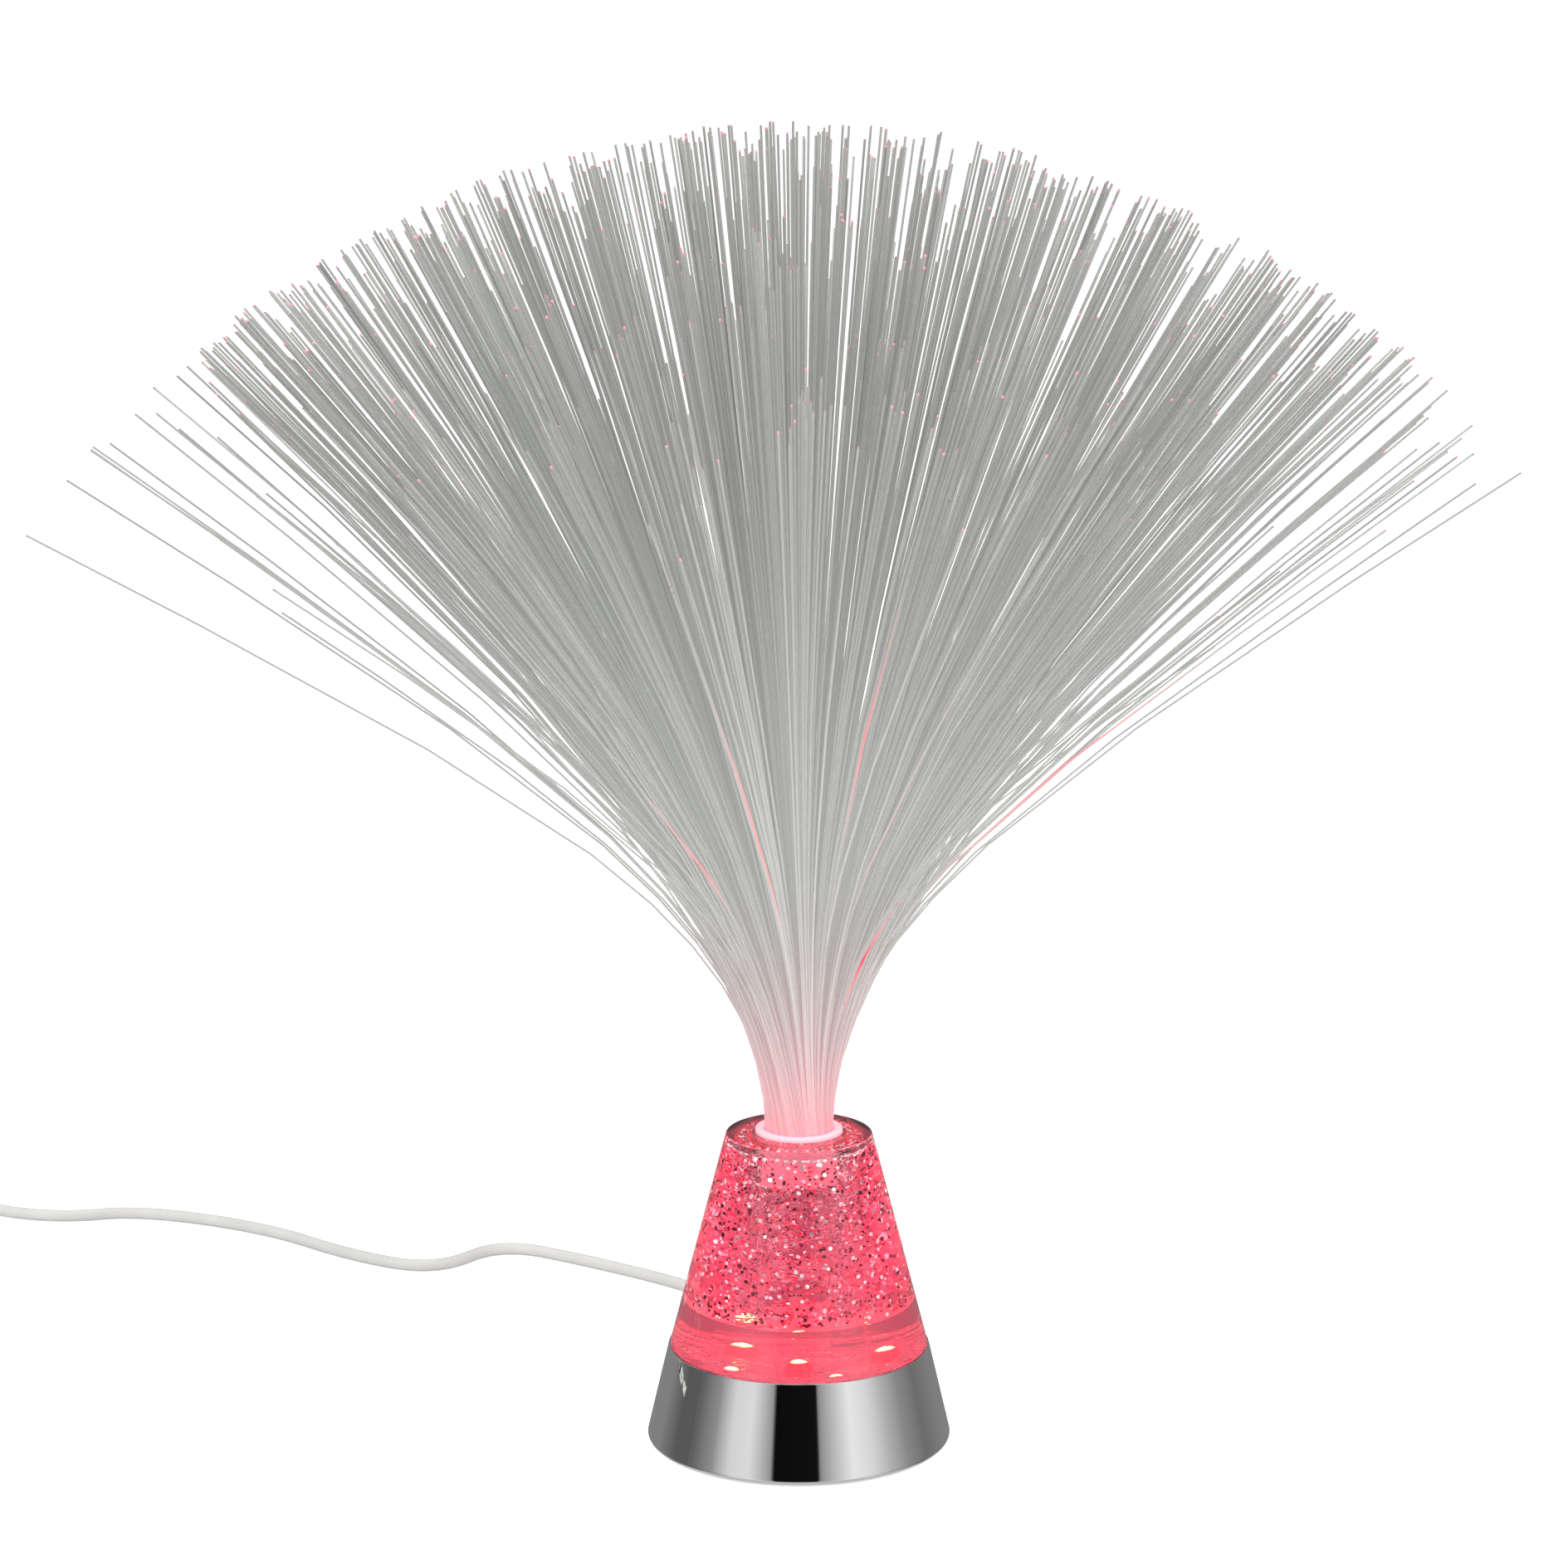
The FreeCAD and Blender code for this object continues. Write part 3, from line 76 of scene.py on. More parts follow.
def add_node(finish, kind, inputs=None, **settings):
    """Adds a node, with its settings, and its sockets' values or links."""
    node = finish.node_tree.nodes.new(kind)
    for name, value in settings.items():
        setattr(node, name, value)
    for socket, value in (inputs or {}).items():
        if isinstance(value, bpy.types.NodeSocket):
            finish.node_tree.links.new(value, node.inputs[socket])
        else:
            node.inputs[socket].default_value = value
    return node


def dress(node_name, finish):
    """Gives a solid of the frame its finish."""
    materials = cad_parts[node_name].data.materials
    materials.clear()
    materials.append(finish)


mm = 0.001


def grained_finish(name, pattern, size, tones, surface, bump=None, detail=None):
    """A finish whose two tones, and relief in mm, follow one pattern with cells of a size in mm."""
    finish = new_finish(name)
    place = add_node(finish, "ShaderNodeTexCoord").outputs["Object"]
    cells = {"Vector": place, "Scale": 1 / (size * mm)}
    if detail is not None:
        cells["Detail"] = detail
    grain = add_node(finish, pattern, cells).outputs[0]
    tone = add_node(finish, "ShaderNodeMix",
                    {"Factor": grain, "A": linear(tones[0]), "B": linear(tones[1])}, data_type="RGBA")
    surface = {"Base Color": tone.outputs["Result"], **surface}
    if bump:
        strength, depth = bump
        relief = add_node(finish, "ShaderNodeBump",
                          {"Height": grain, "Strength": strength, "Distance": depth * mm})
        surface["Normal"] = relief.outputs["Normal"]
    shader = add_node(finish, "ShaderNodeBsdfPrincipled", surface)
    add_node(finish, "ShaderNodeOutputMaterial", {"Surface": shader.outputs["BSDF"]})
    return finish


# EVA foam: matt, with open pin-hole cells about 0.6 mm apart where it was sawn
foam = grained_finish("black_eva_foam", "ShaderNodeTexVoronoi", 0.6, ("#1a1a1b", "#2e2e30"),
                      {"Roughness": 0.92}, bump=(0.5, 0.15))
dress("foot_pad", foam)


# Base cover. The real one is a black injection-moulded ABS disc with the
# saddle of the cord clamp on its upper side, held by four screws.

# Moulded ABS: spark-eroded grain about 0.35 mm, satin sheen
black_abs = grained_finish("black_moulded_abs", "ShaderNodeTexNoise", 0.35, ("#141415", "#262628"),
                           {"Roughness": 0.48, "IOR": 1.53}, bump=(0.35, 0.05), detail=3.0)
dress("base_cover", black_abs)


def marked_finish(name, shade, size, roughness, metallic=1.0):
    """A finish of one colour whose roughness wanders between two values, over marks of a size in mm."""
    finish = new_finish(name)
    place = add_node(finish, "ShaderNodeTexCoord").outputs["Object"]
    marks = add_node(finish, "ShaderNodeTexNoise", {"Vector": place, "Scale": 1 / (size * mm)})
    rough = add_node(finish, "ShaderNodeMapRange",
                     {"Value": marks.outputs["Fac"], "To Min": roughness[0], "To Max": roughness[1]})
    shader = add_node(finish, "ShaderNodeBsdfPrincipled",
                      {"Base Color": linear(shade), "Metallic": metallic,
                       "Roughness": rough.outputs["Result"]})
    add_node(finish, "ShaderNodeOutputMaterial", {"Surface": shader.outputs["BSDF"]})
    return finish


# Zinc-plated steel: bright, slightly blue, with fine turning marks about 0.2 mm apart
zinc = marked_finish("zinc_plated_steel", "#c3c7cc", 0.2, (0.22, 0.42))
for name in ("cover_screws", "clamp_screws", "carrier_screws", "board_screws", "switch_screws"):
    dress(name, zinc)


# Base skirt. The real one is a zinc die casting, polished and chrome plated:
# a tapered ring with an inward ledge that the cone is cemented to.

def rounded(outline):
    """Points of an outline whose corners are (radius, height) or (radius, height, round)."""
    steps = 6
    points = []
    for i, corner in enumerate(outline):
        x, y = corner[:2]
        if len(corner) == 2:
            points.append((x, y))
            continue
        before, after = outline[i - 1][:2], outline[(i + 1) % len(outline)][:2]
        back = math.atan2(before[1] - y, before[0] - x)
        on = math.atan2(after[1] - y, after[0] - x)
        half = ((on - back + math.pi) % math.tau - math.pi) / 2
        middle = back + half
        reach = corner[2] / math.sin(abs(half))
        centre = (x + reach * math.cos(middle), y + reach * math.sin(middle))
        sweep = math.copysign(math.pi / 2 - abs(half), half)
        for k in range(steps + 1):
            angle = middle + math.pi + sweep - 2 * sweep * k / steps
            points.append((centre[0] + corner[2] * math.cos(angle),
                           centre[1] + corner[2] * math.sin(angle)))
    return points


def turned(name, outline, axis=(0, 0, 1), steps=180):
    """Spins a closed outline of corners, in mm, once round the Z or Y axis."""
    sharp_edge = math.radians(35)
    points = [(r * mm, 0, h * mm) if axis[2] else (r * mm, h * mm, 0) for r, h in rounded(outline)]
    bpy.ops.mesh.primitive_plane_add(size=mm, location=(0, 0, 0))
    piece = bpy.context.object
    piece.name = name
    piece.data.name = name
    bpy.ops.object.mode_set(mode="EDIT")
    bpy.ops.mesh.select_all(action="SELECT")
    bpy.ops.mesh.merge(type="CENTER")
    bpy.ops.transform.translate(value=points[0])
    on_axis = outline[0][0] == 0
    for start, end in zip(points, points[1:] if on_axis else points[1:] + points[:1]):
        step = [b - a for a, b in zip(start, end)]
        bpy.ops.mesh.extrude_region_move(TRANSFORM_OT_translate={"value": step})
    bpy.ops.mesh.select_all(action="SELECT")
    bpy.ops.mesh.remove_doubles(threshold=0.001 * mm)
    bpy.ops.mesh.spin(steps=steps, angle=math.tau, center=(0, 0, 0), axis=axis)
    bpy.ops.mesh.select_all(action="SELECT")
    bpy.ops.mesh.remove_doubles(threshold=0.001 * mm)
    bpy.ops.mesh.normals_make_consistent(inside=False)
    if bmesh.from_edit_mesh(piece.data).calc_volume(signed=True) < 0:
        bpy.ops.mesh.flip_normals()
    bpy.ops.object.mode_set(mode="OBJECT")
    bpy.ops.object.shade_smooth_by_angle(angle=sharp_edge)
    bpy.ops.object.select_all(action="DESELECT")
    return piece


foot_radius, foot_height = 40, 0.6
rim_radius, ledge_height = 34.1, 26
ledge_inner, ledge_thick, skirt_wall = 28.5, 2, 2
skirt = turned("skirt_shell", [
    (foot_radius, foot_height, 1.2),
    (rim_radius, ledge_height, 0.4),
    (ledge_inner, ledge_height, 0.3),
    (ledge_inner, ledge_height - ledge_thick, 0.3),
    (rim_radius - skirt_wall, ledge_height - ledge_thick, 0.8),
    (foot_radius - skirt_wall, foot_height, 0.5),
])

# Chrome plate: mirror bright, with a very faint orange-peel about 6 mm wide and hairline wipes
chrome = new_finish("bright_chrome_plate")
place = add_node(chrome, "ShaderNodeTexCoord").outputs["Object"]
peel = add_node(chrome, "ShaderNodeTexNoise", {"Vector": place, "Scale": 1 / (6 * mm), "Detail": 1.0})
peel_bump = add_node(chrome, "ShaderNodeBump",
                     {"Height": peel.outputs["Fac"], "Strength": 0.02, "Distance": 0.1 * mm})
wipes = add_node(chrome, "ShaderNodeTexNoise", {"Vector": place, "Scale": 1 / (1.5 * mm), "Detail": 4.0})
chrome_rough = add_node(chrome, "ShaderNodeMapRange",
                        {"Value": wipes.outputs["Fac"], "To Min": 0.02, "To Max": 0.05})
chrome_shader = add_node(chrome, "ShaderNodeBsdfPrincipled",
                         {"Base Color": linear("#f0f0f0"), "Metallic": 1.0,
                          "Roughness": chrome_rough.outputs["Result"],
                          "Normal": peel_bump.outputs["Normal"]})
add_node(chrome, "ShaderNodeOutputMaterial", {"Surface": chrome_shader.outputs["BSDF"]})
skirt.data.materials.append(chrome)
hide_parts("base_skirt")
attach(skirt, "lamp_base")


# Strain relief. The real one is a light grey PVC grommet, moulded on the cord
# and tapering along it; its neck snaps into the skirt's wall at the back.

relief_height = 8
cord_hole, neck_radius, head_radius = 1.75, 3.0, 4.2
relief_start, relief_end = 33.9, 50
first_rib, rib_pitch, rib_radius, rib_taper, groove_depth = 41.8, 2, 3.45, 0.22, 0.45
relief_ribs = []
for i in range(4):
    start, top = first_rib + rib_pitch * i, rib_radius - rib_taper * i
    relief_ribs += [(top, start, 0.15), (top, start + 1.2, 0.15),
                    (top - groove_depth, start + 1.3, 0.1), (top - groove_depth, start + 1.9, 0.1)]
relief = turned("cord_grommet", [
    (cord_hole, relief_start),
    (3.9, relief_start, 0.3),
    (3.9, 35.4, 0.2),
    (neck_radius, 35.5),
    (neck_radius, 38.6),
    (head_radius, 38.7, 0.2),
    (head_radius, 40.2, 0.5),
    *relief_ribs,
    (2.4, relief_end, 0.4),
    (cord_hole, relief_end),
], axis=(0, 1, 0), steps=48)
bpy.context.view_layer.objects.active = relief
relief.select_set(True)
bpy.ops.transform.translate(value=(0, 0, relief_height * mm))
bpy.ops.object.transform_apply(location=True, rotation=True, scale=True)
bpy.ops.object.select_all(action="DESELECT")

# Soft PVC: light grey, satin, with a faint drift of tone over 12 mm and a fine skin about 0.4 mm
cord_pvc = new_finish("light_grey_soft_pvc")
place = add_node(cord_pvc, "ShaderNodeTexCoord").outputs["Object"]
drift = add_node(cord_pvc, "ShaderNodeTexNoise", {"Vector": place, "Scale": 1 / (12 * mm)})
skin = add_node(cord_pvc, "ShaderNodeTexNoise", {"Vector": place, "Scale": 1 / (0.4 * mm)})
pvc_tone = add_node(cord_pvc, "ShaderNodeMix",
                    {"Factor": drift.outputs["Fac"], "A": linear("#c6c5c2"), "B": linear("#d6d5d3")},
                    data_type="RGBA")
pvc_bump = add_node(cord_pvc, "ShaderNodeBump",
                    {"Height": skin.outputs["Fac"], "Strength": 0.2, "Distance": 0.03 * mm})
pvc_shader = add_node(cord_pvc, "ShaderNodeBsdfPrincipled",
                      {"Base Color": pvc_tone.outputs["Result"], "Roughness": 0.42, "IOR": 1.52,
                       "Normal": pvc_bump.outputs["Normal"]})
add_node(cord_pvc, "ShaderNodeOutputMaterial", {"Surface": pvc_shader.outputs["BSDF"]})
relief.data.materials.append(cord_pvc)
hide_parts("strain_relief")
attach(relief, "lamp_base")
dress("cord_inner", cord_pvc)


# Cord clamp and cores. The real clamp is a black ABS bar screwed down over
# the cord; two cores in red and black PVC run from its end to the board.

dress("cord_clamp", black_abs)

# Core insulation: glossy extruded PVC, die lines about 0.3 mm apart
for node_name, shade, finish_name in (("lead_wire_red", "#a81f1c", "red_core_pvc"),
                                      ("lead_wire_black", "#1c1c1d", "black_core_pvc")):
    core_pvc = marked_finish(finish_name, shade, 0.3, (0.28, 0.45), metallic=0.0)
    dress(node_name, core_pvc)


# Circuit board, resistors and diodes. The real board is 1.6 mm glass epoxy
# with a white solder mask; five 5 mm diodes shine up through the floor block.

# Solder mask: glossy white ink, woven glass showing faintly at 0.5 mm
solder_mask = new_finish("white_solder_mask")
place = add_node(solder_mask, "ShaderNodeTexCoord").outputs["Object"]
weave = add_node(solder_mask, "ShaderNodeTexChecker",
                 {"Vector": place, "Scale": 1 / (0.5 * mm), "Color1": linear("#e4e2da"),
                  "Color2": linear("#dbd9d0")})
mask_shader = add_node(solder_mask, "ShaderNodeBsdfPrincipled",
                       {"Base Color": weave.outputs["Color"], "Roughness": 0.3})
add_node(solder_mask, "ShaderNodeOutputMaterial", {"Surface": mask_shader.outputs["BSDF"]})
dress("led_board", solder_mask)

# Chip resistor: black glazed body, mottled at 0.3 mm
chip = grained_finish("black_chip_glaze", "ShaderNodeTexNoise", 0.3, ("#101012", "#2b2b2d"),
                      {"Roughness": 0.35})
dress("led_resistors", chip)

# Lit diode lens: epoxy that glows, yellow-white over the die and red at the foot
led_lens = new_finish("lit_red_epoxy_lens")
place = add_node(led_lens, "ShaderNodeTexCoord").outputs["Object"]
height = add_node(led_lens, "ShaderNodeSeparateXYZ", {"Vector": place}).outputs["Z"]
dome = add_node(led_lens, "ShaderNodeMapRange",
                {"Value": height, "From Min": 21.7 * mm, "From Max": 22.5 * mm},
                interpolation_type="SMOOTHERSTEP")
lens_colour = add_node(led_lens, "ShaderNodeMix",
                       {"Factor": dome.outputs["Result"], "A": linear("#ff3040"),
                        "B": linear("#ffcc60")}, data_type="RGBA")
lens_power = add_node(led_lens, "ShaderNodeMapRange",
                      {"Value": dome.outputs["Result"], "To Min": 1.0, "To Max": 24.0})
lens_shader = add_node(led_lens, "ShaderNodeBsdfPrincipled",
                       {"Base Color": linear("#c8323c"), "Roughness": 0.12, "IOR": 1.52,
                        "Emission Color": lens_colour.outputs["Result"],
                        "Emission Strength": lens_power.outputs["Result"]})
add_node(led_lens, "ShaderNodeOutputMaterial", {"Surface": lens_shader.outputs["BSDF"]})
dress("leds", led_lens)


# Carrier. The real one is a white ABS plate that holds the board by four
# posts, throws the diodes' light upwards and is screwed under the ledge.

# White ABS in red light: glows unevenly, in patches about 9 mm wide
lit_abs = new_finish("white_abs_in_red_light")
place = add_node(lit_abs, "ShaderNodeTexCoord").outputs["Object"]
cloud = add_node(lit_abs, "ShaderNodeTexNoise", {"Vector": place, "Scale": 1 / (9 * mm)})
lit_power = add_node(lit_abs, "ShaderNodeMapRange",
                     {"Value": cloud.outputs["Fac"], "From Min": 0.35, "From Max": 0.65,
                      "To Min": 0.45, "To Max": 1.25})
lit_colour = add_node(lit_abs, "ShaderNodeMix",
                      {"Factor": cloud.outputs["Fac"], "A": linear("#ff3c50"), "B": linear("#ff8c82")},
                      data_type="RGBA")
lit_shader = add_node(lit_abs, "ShaderNodeBsdfPrincipled",
                      {"Base Color": linear("#e6dcda"), "Roughness": 0.5,
                       "Emission Color": lit_colour.outputs["Result"],
                       "Emission Strength": lit_power.outputs["Result"]})
add_node(lit_abs, "ShaderNodeOutputMaterial", {"Surface": lit_shader.outputs["BSDF"]})
dress("led_carrier", lit_abs)


# Floor block. The real one is a clear acrylic plug cemented into the cone's
# foot, drilled for the diodes, with a seat for the tube and a filling hole.

tube_outer, tube_inner = 12.3, 10.3
tube_fit = 0.05
block_bottom, block_top, seat_depth, spigot_radius = 20, 38, 2, 28.2
block = turned("acrylic_floor", [
    (0, block_bottom),
    (spigot_radius, block_bottom, 0.3),
    (spigot_radius, ledge_height),
    (30.74, ledge_height),
    (27.65, block_top),
    (tube_outer + tube_fit, block_top),
    (tube_outer + tube_fit, block_top - seat_depth),
    (0, block_top - seat_depth),
])

# Cast acrylic against air: clear and polished; ripples of the mould about 9 mm long
acrylic = new_finish("clear_polished_acrylic")
place = add_node(acrylic, "ShaderNodeTexCoord").outputs["Object"]
ripple = add_node(acrylic, "ShaderNodeTexNoise", {"Vector": place, "Scale": 1 / (9 * mm), "Detail": 1.0})
ripple_bump = add_node(acrylic, "ShaderNodeBump",
                       {"Height": ripple.outputs["Fac"], "Strength": 0.10, "Distance": 0.5 * mm})
acrylic_shader = add_node(acrylic, "ShaderNodeBsdfPrincipled",
                          {"Base Color": linear("#fdf4f5"), "Roughness": 0.0, "IOR": 1.49,
                           "Transmission Weight": 1.0, "Normal": ripple_bump.outputs["Normal"]})
add_node(acrylic, "ShaderNodeOutputMaterial", {"Surface": acrylic_shader.outputs["BSDF"]})


def wet_face(finish):
    """Adds the face of acrylic against liquid or cement, and returns its shader's output."""
    place = add_node(finish, "ShaderNodeTexCoord").outputs["Object"]
    flat = add_node(finish, "ShaderNodeMapping", {"Vector": place, "Scale": (1, 1, 2.5)})
    film = add_node(finish, "ShaderNodeTexNoise",
                    {"Vector": flat.outputs["Vector"], "Scale": 1 / (6 * mm)})
    film_bump = add_node(finish, "ShaderNodeBump",
                         {"Height": film.outputs["Fac"], "Strength": 0.8, "Distance": 1.5 * mm})
    shader = add_node(finish, "ShaderNodeBsdfPrincipled",
                      {"Base Color": linear("#fff6f7"), "Roughness": 0.0, "IOR": 1.09,
                       "Transmission Weight": 1.0, "Normal": film_bump.outputs["Normal"]})
    return shader.outputs["BSDF"]


def glowing_body(finish, passed, density, shade, strength):
    """Adds a depth that tints what shines through it and adds up scattered light."""
    tint = add_node(finish, "ShaderNodeVolumeAbsorption", {"Color": passed, "Density": density})
    glow = add_node(finish, "ShaderNodeEmission", {"Color": linear(shade), "Strength": strength})
    body = add_node(finish, "ShaderNodeAddShader",
                    {0: tint.outputs["Volume"], 1: glow.outputs["Emission"]})
    return body.outputs["Shader"]


# Acrylic against liquid or cement: light hardly bends there, so only its flat 6 mm ripples show
wet_acrylic = new_finish("acrylic_under_liquid")
add_node(wet_acrylic, "ShaderNodeOutputMaterial", {"Surface": wet_face(wet_acrylic)})

# Acrylic of the block: the same face, and red light of the diodes scattered in its depth
lit_acrylic = new_finish("acrylic_in_red_light")
add_node(lit_acrylic, "ShaderNodeOutputMaterial",
         {"Surface": wet_face(lit_acrylic),
          "Volume": glowing_body(lit_acrylic, (1, 0.0, 0.2, 1), 25.0, "#ff8ea2", 13.0)})
block.data.materials.append(lit_acrylic)
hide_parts("vessel_floor")
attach(block, "lamp_base")
dress("fill_plug", wet_acrylic)


# Inner tube. The real one is extruded clear acrylic, cemented between the
# floor block and the cone's top; the fibre head's plug slides into it.

cone_top = 83.3
cone_wall = 3
ceiling = cone_top - cone_wall


def split_finish(piece, inside, test):
    """Gives the faces that pass a test, by their centre in mm, a second finish."""
    piece.data.materials.append(inside)
    last = len(piece.data.materials) - 1
    for face in piece.data.polygons:
        x, y, z = (c / mm for c in face.center)
        if test(math.hypot(x, y), z):
            face.material_index = last


tube = turned("acrylic_tube", [
    (tube_inner, block_top - seat_depth + tube_fit),
    (tube_outer, block_top - seat_depth + tube_fit),
    (tube_outer, cone_top),
    (tube_inner, cone_top),
])
tube.data.materials.append(acrylic)
split_finish(tube, wet_acrylic, lambda radius, up: radius > tube_outer - 0.2)
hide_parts("inner_tube")
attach(tube, "lamp_base")


# Cone vessel. The real one is injection-moulded clear acrylic with a 3 mm
# wall and a thick flat top, cemented on the chrome ledge.

cone_foot, cone_head = rim_radius - 0.3, 19
cement = 0.02
slope = (cone_foot - cone_head) / (cone_top - ledge_height)


def cone_radius(up, inwards):
    """Radius at a height, so far in from the cone's outer face, in mm."""
    return cone_foot - inwards - slope * (up - ledge_height)


cone = turned("acrylic_cone", [
    (cone_foot - cone_wall, ledge_height + cement),
    (cone_foot, ledge_height + cement, 0.3),
    (cone_head, cone_top, 0.8),
    (tube_outer + tube_fit, cone_top),
    (tube_outer + tube_fit, ceiling),
    (cone_radius(ceiling, cone_wall), ceiling, 1.0),
], steps=256)
cone.data.materials.append(acrylic)
split_finish(cone, wet_acrylic, lambda radius, up: up < cone_top - 0.5 and radius < cone_radius(up, 1))

# The same acrylic on the cone's top, which the light from below hardly reaches: dusky red
dusky_acrylic = new_finish("acrylic_top_in_shade")
place = add_node(dusky_acrylic, "ShaderNodeTexCoord").outputs["Object"]
swirl = add_node(dusky_acrylic, "ShaderNodeTexNoise", {"Vector": place, "Scale": 1 / (5 * mm)})
dusky_tone = add_node(dusky_acrylic, "ShaderNodeMix",
                      {"Factor": swirl.outputs["Fac"], "A": linear("#b07884"), "B": linear("#e0aab4")},
                      data_type="RGBA")
dusky_shader = add_node(dusky_acrylic, "ShaderNodeBsdfPrincipled",
                        {"Base Color": dusky_tone.outputs["Result"], "Roughness": 0.0, "IOR": 1.49,
                         "Transmission Weight": 1.0})
add_node(dusky_acrylic, "ShaderNodeOutputMaterial", {"Surface": dusky_shader.outputs["BSDF"]})
split_finish(cone, dusky_acrylic, lambda radius, up: up > cone_top - 0.1)
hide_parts("cone_vessel")
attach(cone, "lamp_base")


# Liquid. The real one is a clear water and glycerine mix that carries the
# glitter; it fills the whole chamber and glows red from the diodes below.

gap = 0.1
liquid = turned("vessel_liquid", [
    (tube_outer + gap, block_top + gap),
    (cone_radius(block_top + gap, 3.1), block_top + gap),
    (cone_radius(ceiling - gap, 3.1), ceiling - gap, 1.0),
    (tube_outer + gap, ceiling - gap),
])

# Lit liquid: passes red best, and scattered red light adds up along the line of sight
lit_liquid = new_finish("lit_clear_liquid")
through = add_node(lit_liquid, "ShaderNodeBsdfTransparent", {"Color": (1, 1, 1, 1)})
add_node(lit_liquid, "ShaderNodeOutputMaterial",
         {"Surface": through.outputs["BSDF"],
          "Volume": glowing_body(lit_liquid, (1, 0.0, 0.25, 1), 42.0, "#ff7c9e", 19.0)})
liquid.data.materials.append(lit_liquid)
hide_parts("glitter_liquid")
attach(liquid, "lamp_base")


# Glitter. The real flakes are hexagons punched from metallised polyester
# film; they hang in the liquid at every angle, float under its top and lie on the block.

# Numbers at which the loose flakes end, then the silver ones near the wall that face outwards,
# then the silver ones that float under the ceiling, then those that have sunk on the block
loose_end = 3000
wall_end = loose_end + 380
floating_end = wall_end + 130
sunk_end = floating_end + 600
flake_radius, flake_thick = 0.5, 0.06
flake_inner, flake_gap = tube_outer + 1.2, cone_wall + 1.2
flake_draw = random.Random(41)
bpy.ops.mesh.primitive_cylinder_add(vertices=6, radius=flake_radius * mm, depth=flake_thick * mm,
                                    location=(0, 0, 0))
flake = bpy.context.object
flake.name = "glitter_flakes"
flake.data.name = "glitter_flakes"
hexagon = [tuple(v.co) for v in flake.data.vertices]
hexagon_faces = [tuple(face.vertices) for face in flake.data.polygons]


def flake_place(draw):
    """A place in the liquid, in mm, clear of its walls."""
    while True:
        up = draw.uniform(block_top + 1, ceiling - 1)
        outer = cone_radius(up, 4)
        radius = math.sqrt(draw.uniform((tube_outer + 1) ** 2, outer ** 2))
        if draw.random() < 0.55 + 0.45 * (radius / outer) ** 3:
            angle = draw.uniform(0, math.tau)
            return radius * math.cos(angle), radius * math.sin(angle), up


def turn_about(point, axis, angle):
    """A point turned about an axis through the origin, by Rodrigues' formula."""
    c, s = math.cos(angle), math.sin(angle)
    dot = sum(a * p for a, p in zip(axis, point))
    cross = (axis[1] * point[2] - axis[2] * point[1], axis[2] * point[0] - axis[0] * point[2],
             axis[0] * point[1] - axis[1] * point[0])
    return [p * c + k * s + a * dot * (1 - c) for p, k, a in zip(point, cross, axis)]


corners, faces, shades = [], [], []
for number in range(sunk_end):
    middle = flake_place(flake_draw)
    axis = [flake_draw.gauss(0, 1) for _ in range(3)]
    length = math.sqrt(sum(a * a for a in axis))
    axis = [a / length for a in axis]
    angle = flake_draw.uniform(0, math.tau)
    scale = flake_draw.choice((0.55, 0.8, 0.8, 1.0, 1.15))
    shade = flake_draw.random()
    if number >= loose_end:
        around = math.atan2(middle[1], middle[0])
        radius, up = cone_radius(middle[2], 3.8) - 4 * flake_draw.random() ** 2, middle[2]
        if number >= floating_end:
            up = block_top + flake_draw.uniform(0.3, 1.2)
            radius = flake_draw.uniform(flake_inner, cone_radius(block_top, flake_gap))
        elif number >= wall_end:
            up = ceiling - flake_draw.uniform(0.5, 1.0)
            radius = flake_draw.uniform(flake_inner, cone_radius(ceiling, flake_gap))
        middle = (radius * math.cos(around), radius * math.sin(around), up)
        tip_over = flake_draw.gauss(math.radians(90), math.radians(30))
        axis, angle = (-math.sin(around), math.cos(around), 0), tip_over
        # The wall and floating flakes take only the white and grey tones, which glow as painted glints
        if number < floating_end:
            scale, shade = flake_draw.uniform(0.85, 1.2), 0.16 * shade
    first = len(corners)
    for corner in hexagon:
        spun = turn_about([c * scale for c in corner], axis, angle)
        corners.append([a + b * mm for a, b in zip(spun, middle)])
    faces += [[first + i for i in face] for face in hexagon_faces]
    shades += [shade] * len(hexagon)
flake.data.clear_geometry()
flake.data.from_pydata(corners, [], faces)
flake.data.attributes.new("shade", "FLOAT", "POINT").data.foreach_set("value", shades)
flake.data.update()
bpy.ops.object.select_all(action="DESELECT")

# Metallised film: every flake glows in its tone as painted light; a tenth white silver and a few grey are
# painted glints, the rest pink to dark red is painted light from around
glitter = new_finish("metallised_film_painted_glow")
shade = add_node(glitter, "ShaderNodeAttribute", attribute_name="shade").outputs["Fac"]
flake_painted_light = add_node(glitter, "ShaderNodeValToRGB", {"Fac": shade})
ramp = flake_painted_light.color_ramp
ramp.interpolation = "CONSTANT"
ramp.elements[0].color = linear("#ffffff")
ramp.elements[1].position = 0.10
ramp.elements[1].color = linear("#b4aeb0")
for position, code in ((0.18, "#e83c56"), (0.44, "#6e1026"), (0.74, "#ff8c9c"), (0.80, "#300810")):
    ramp.elements.new(position).color = linear(code)
flake_rough = add_node(glitter, "ShaderNodeMapRange", {"Value": shade, "To Min": 0.12, "To Max": 0.35})
glitter_shader = add_node(glitter, "ShaderNodeBsdfPrincipled",
                          {"Base Color": flake_painted_light.outputs["Color"], "Metallic": 1.0,
                           "Roughness": flake_rough.outputs["Result"],
                           "Emission Color": flake_painted_light.outputs["Color"], "Emission Strength": 0.6})
add_node(glitter, "ShaderNodeOutputMaterial", {"Surface": glitter_shader.outputs["BSDF"]})
flake.data.materials.append(glitter)
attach(flake, "lamp_base")


# Head collar. The real one is a translucent white polypropylene plug whose
# flange lies on the cone's top; a ferrule of fibres turns inside it.

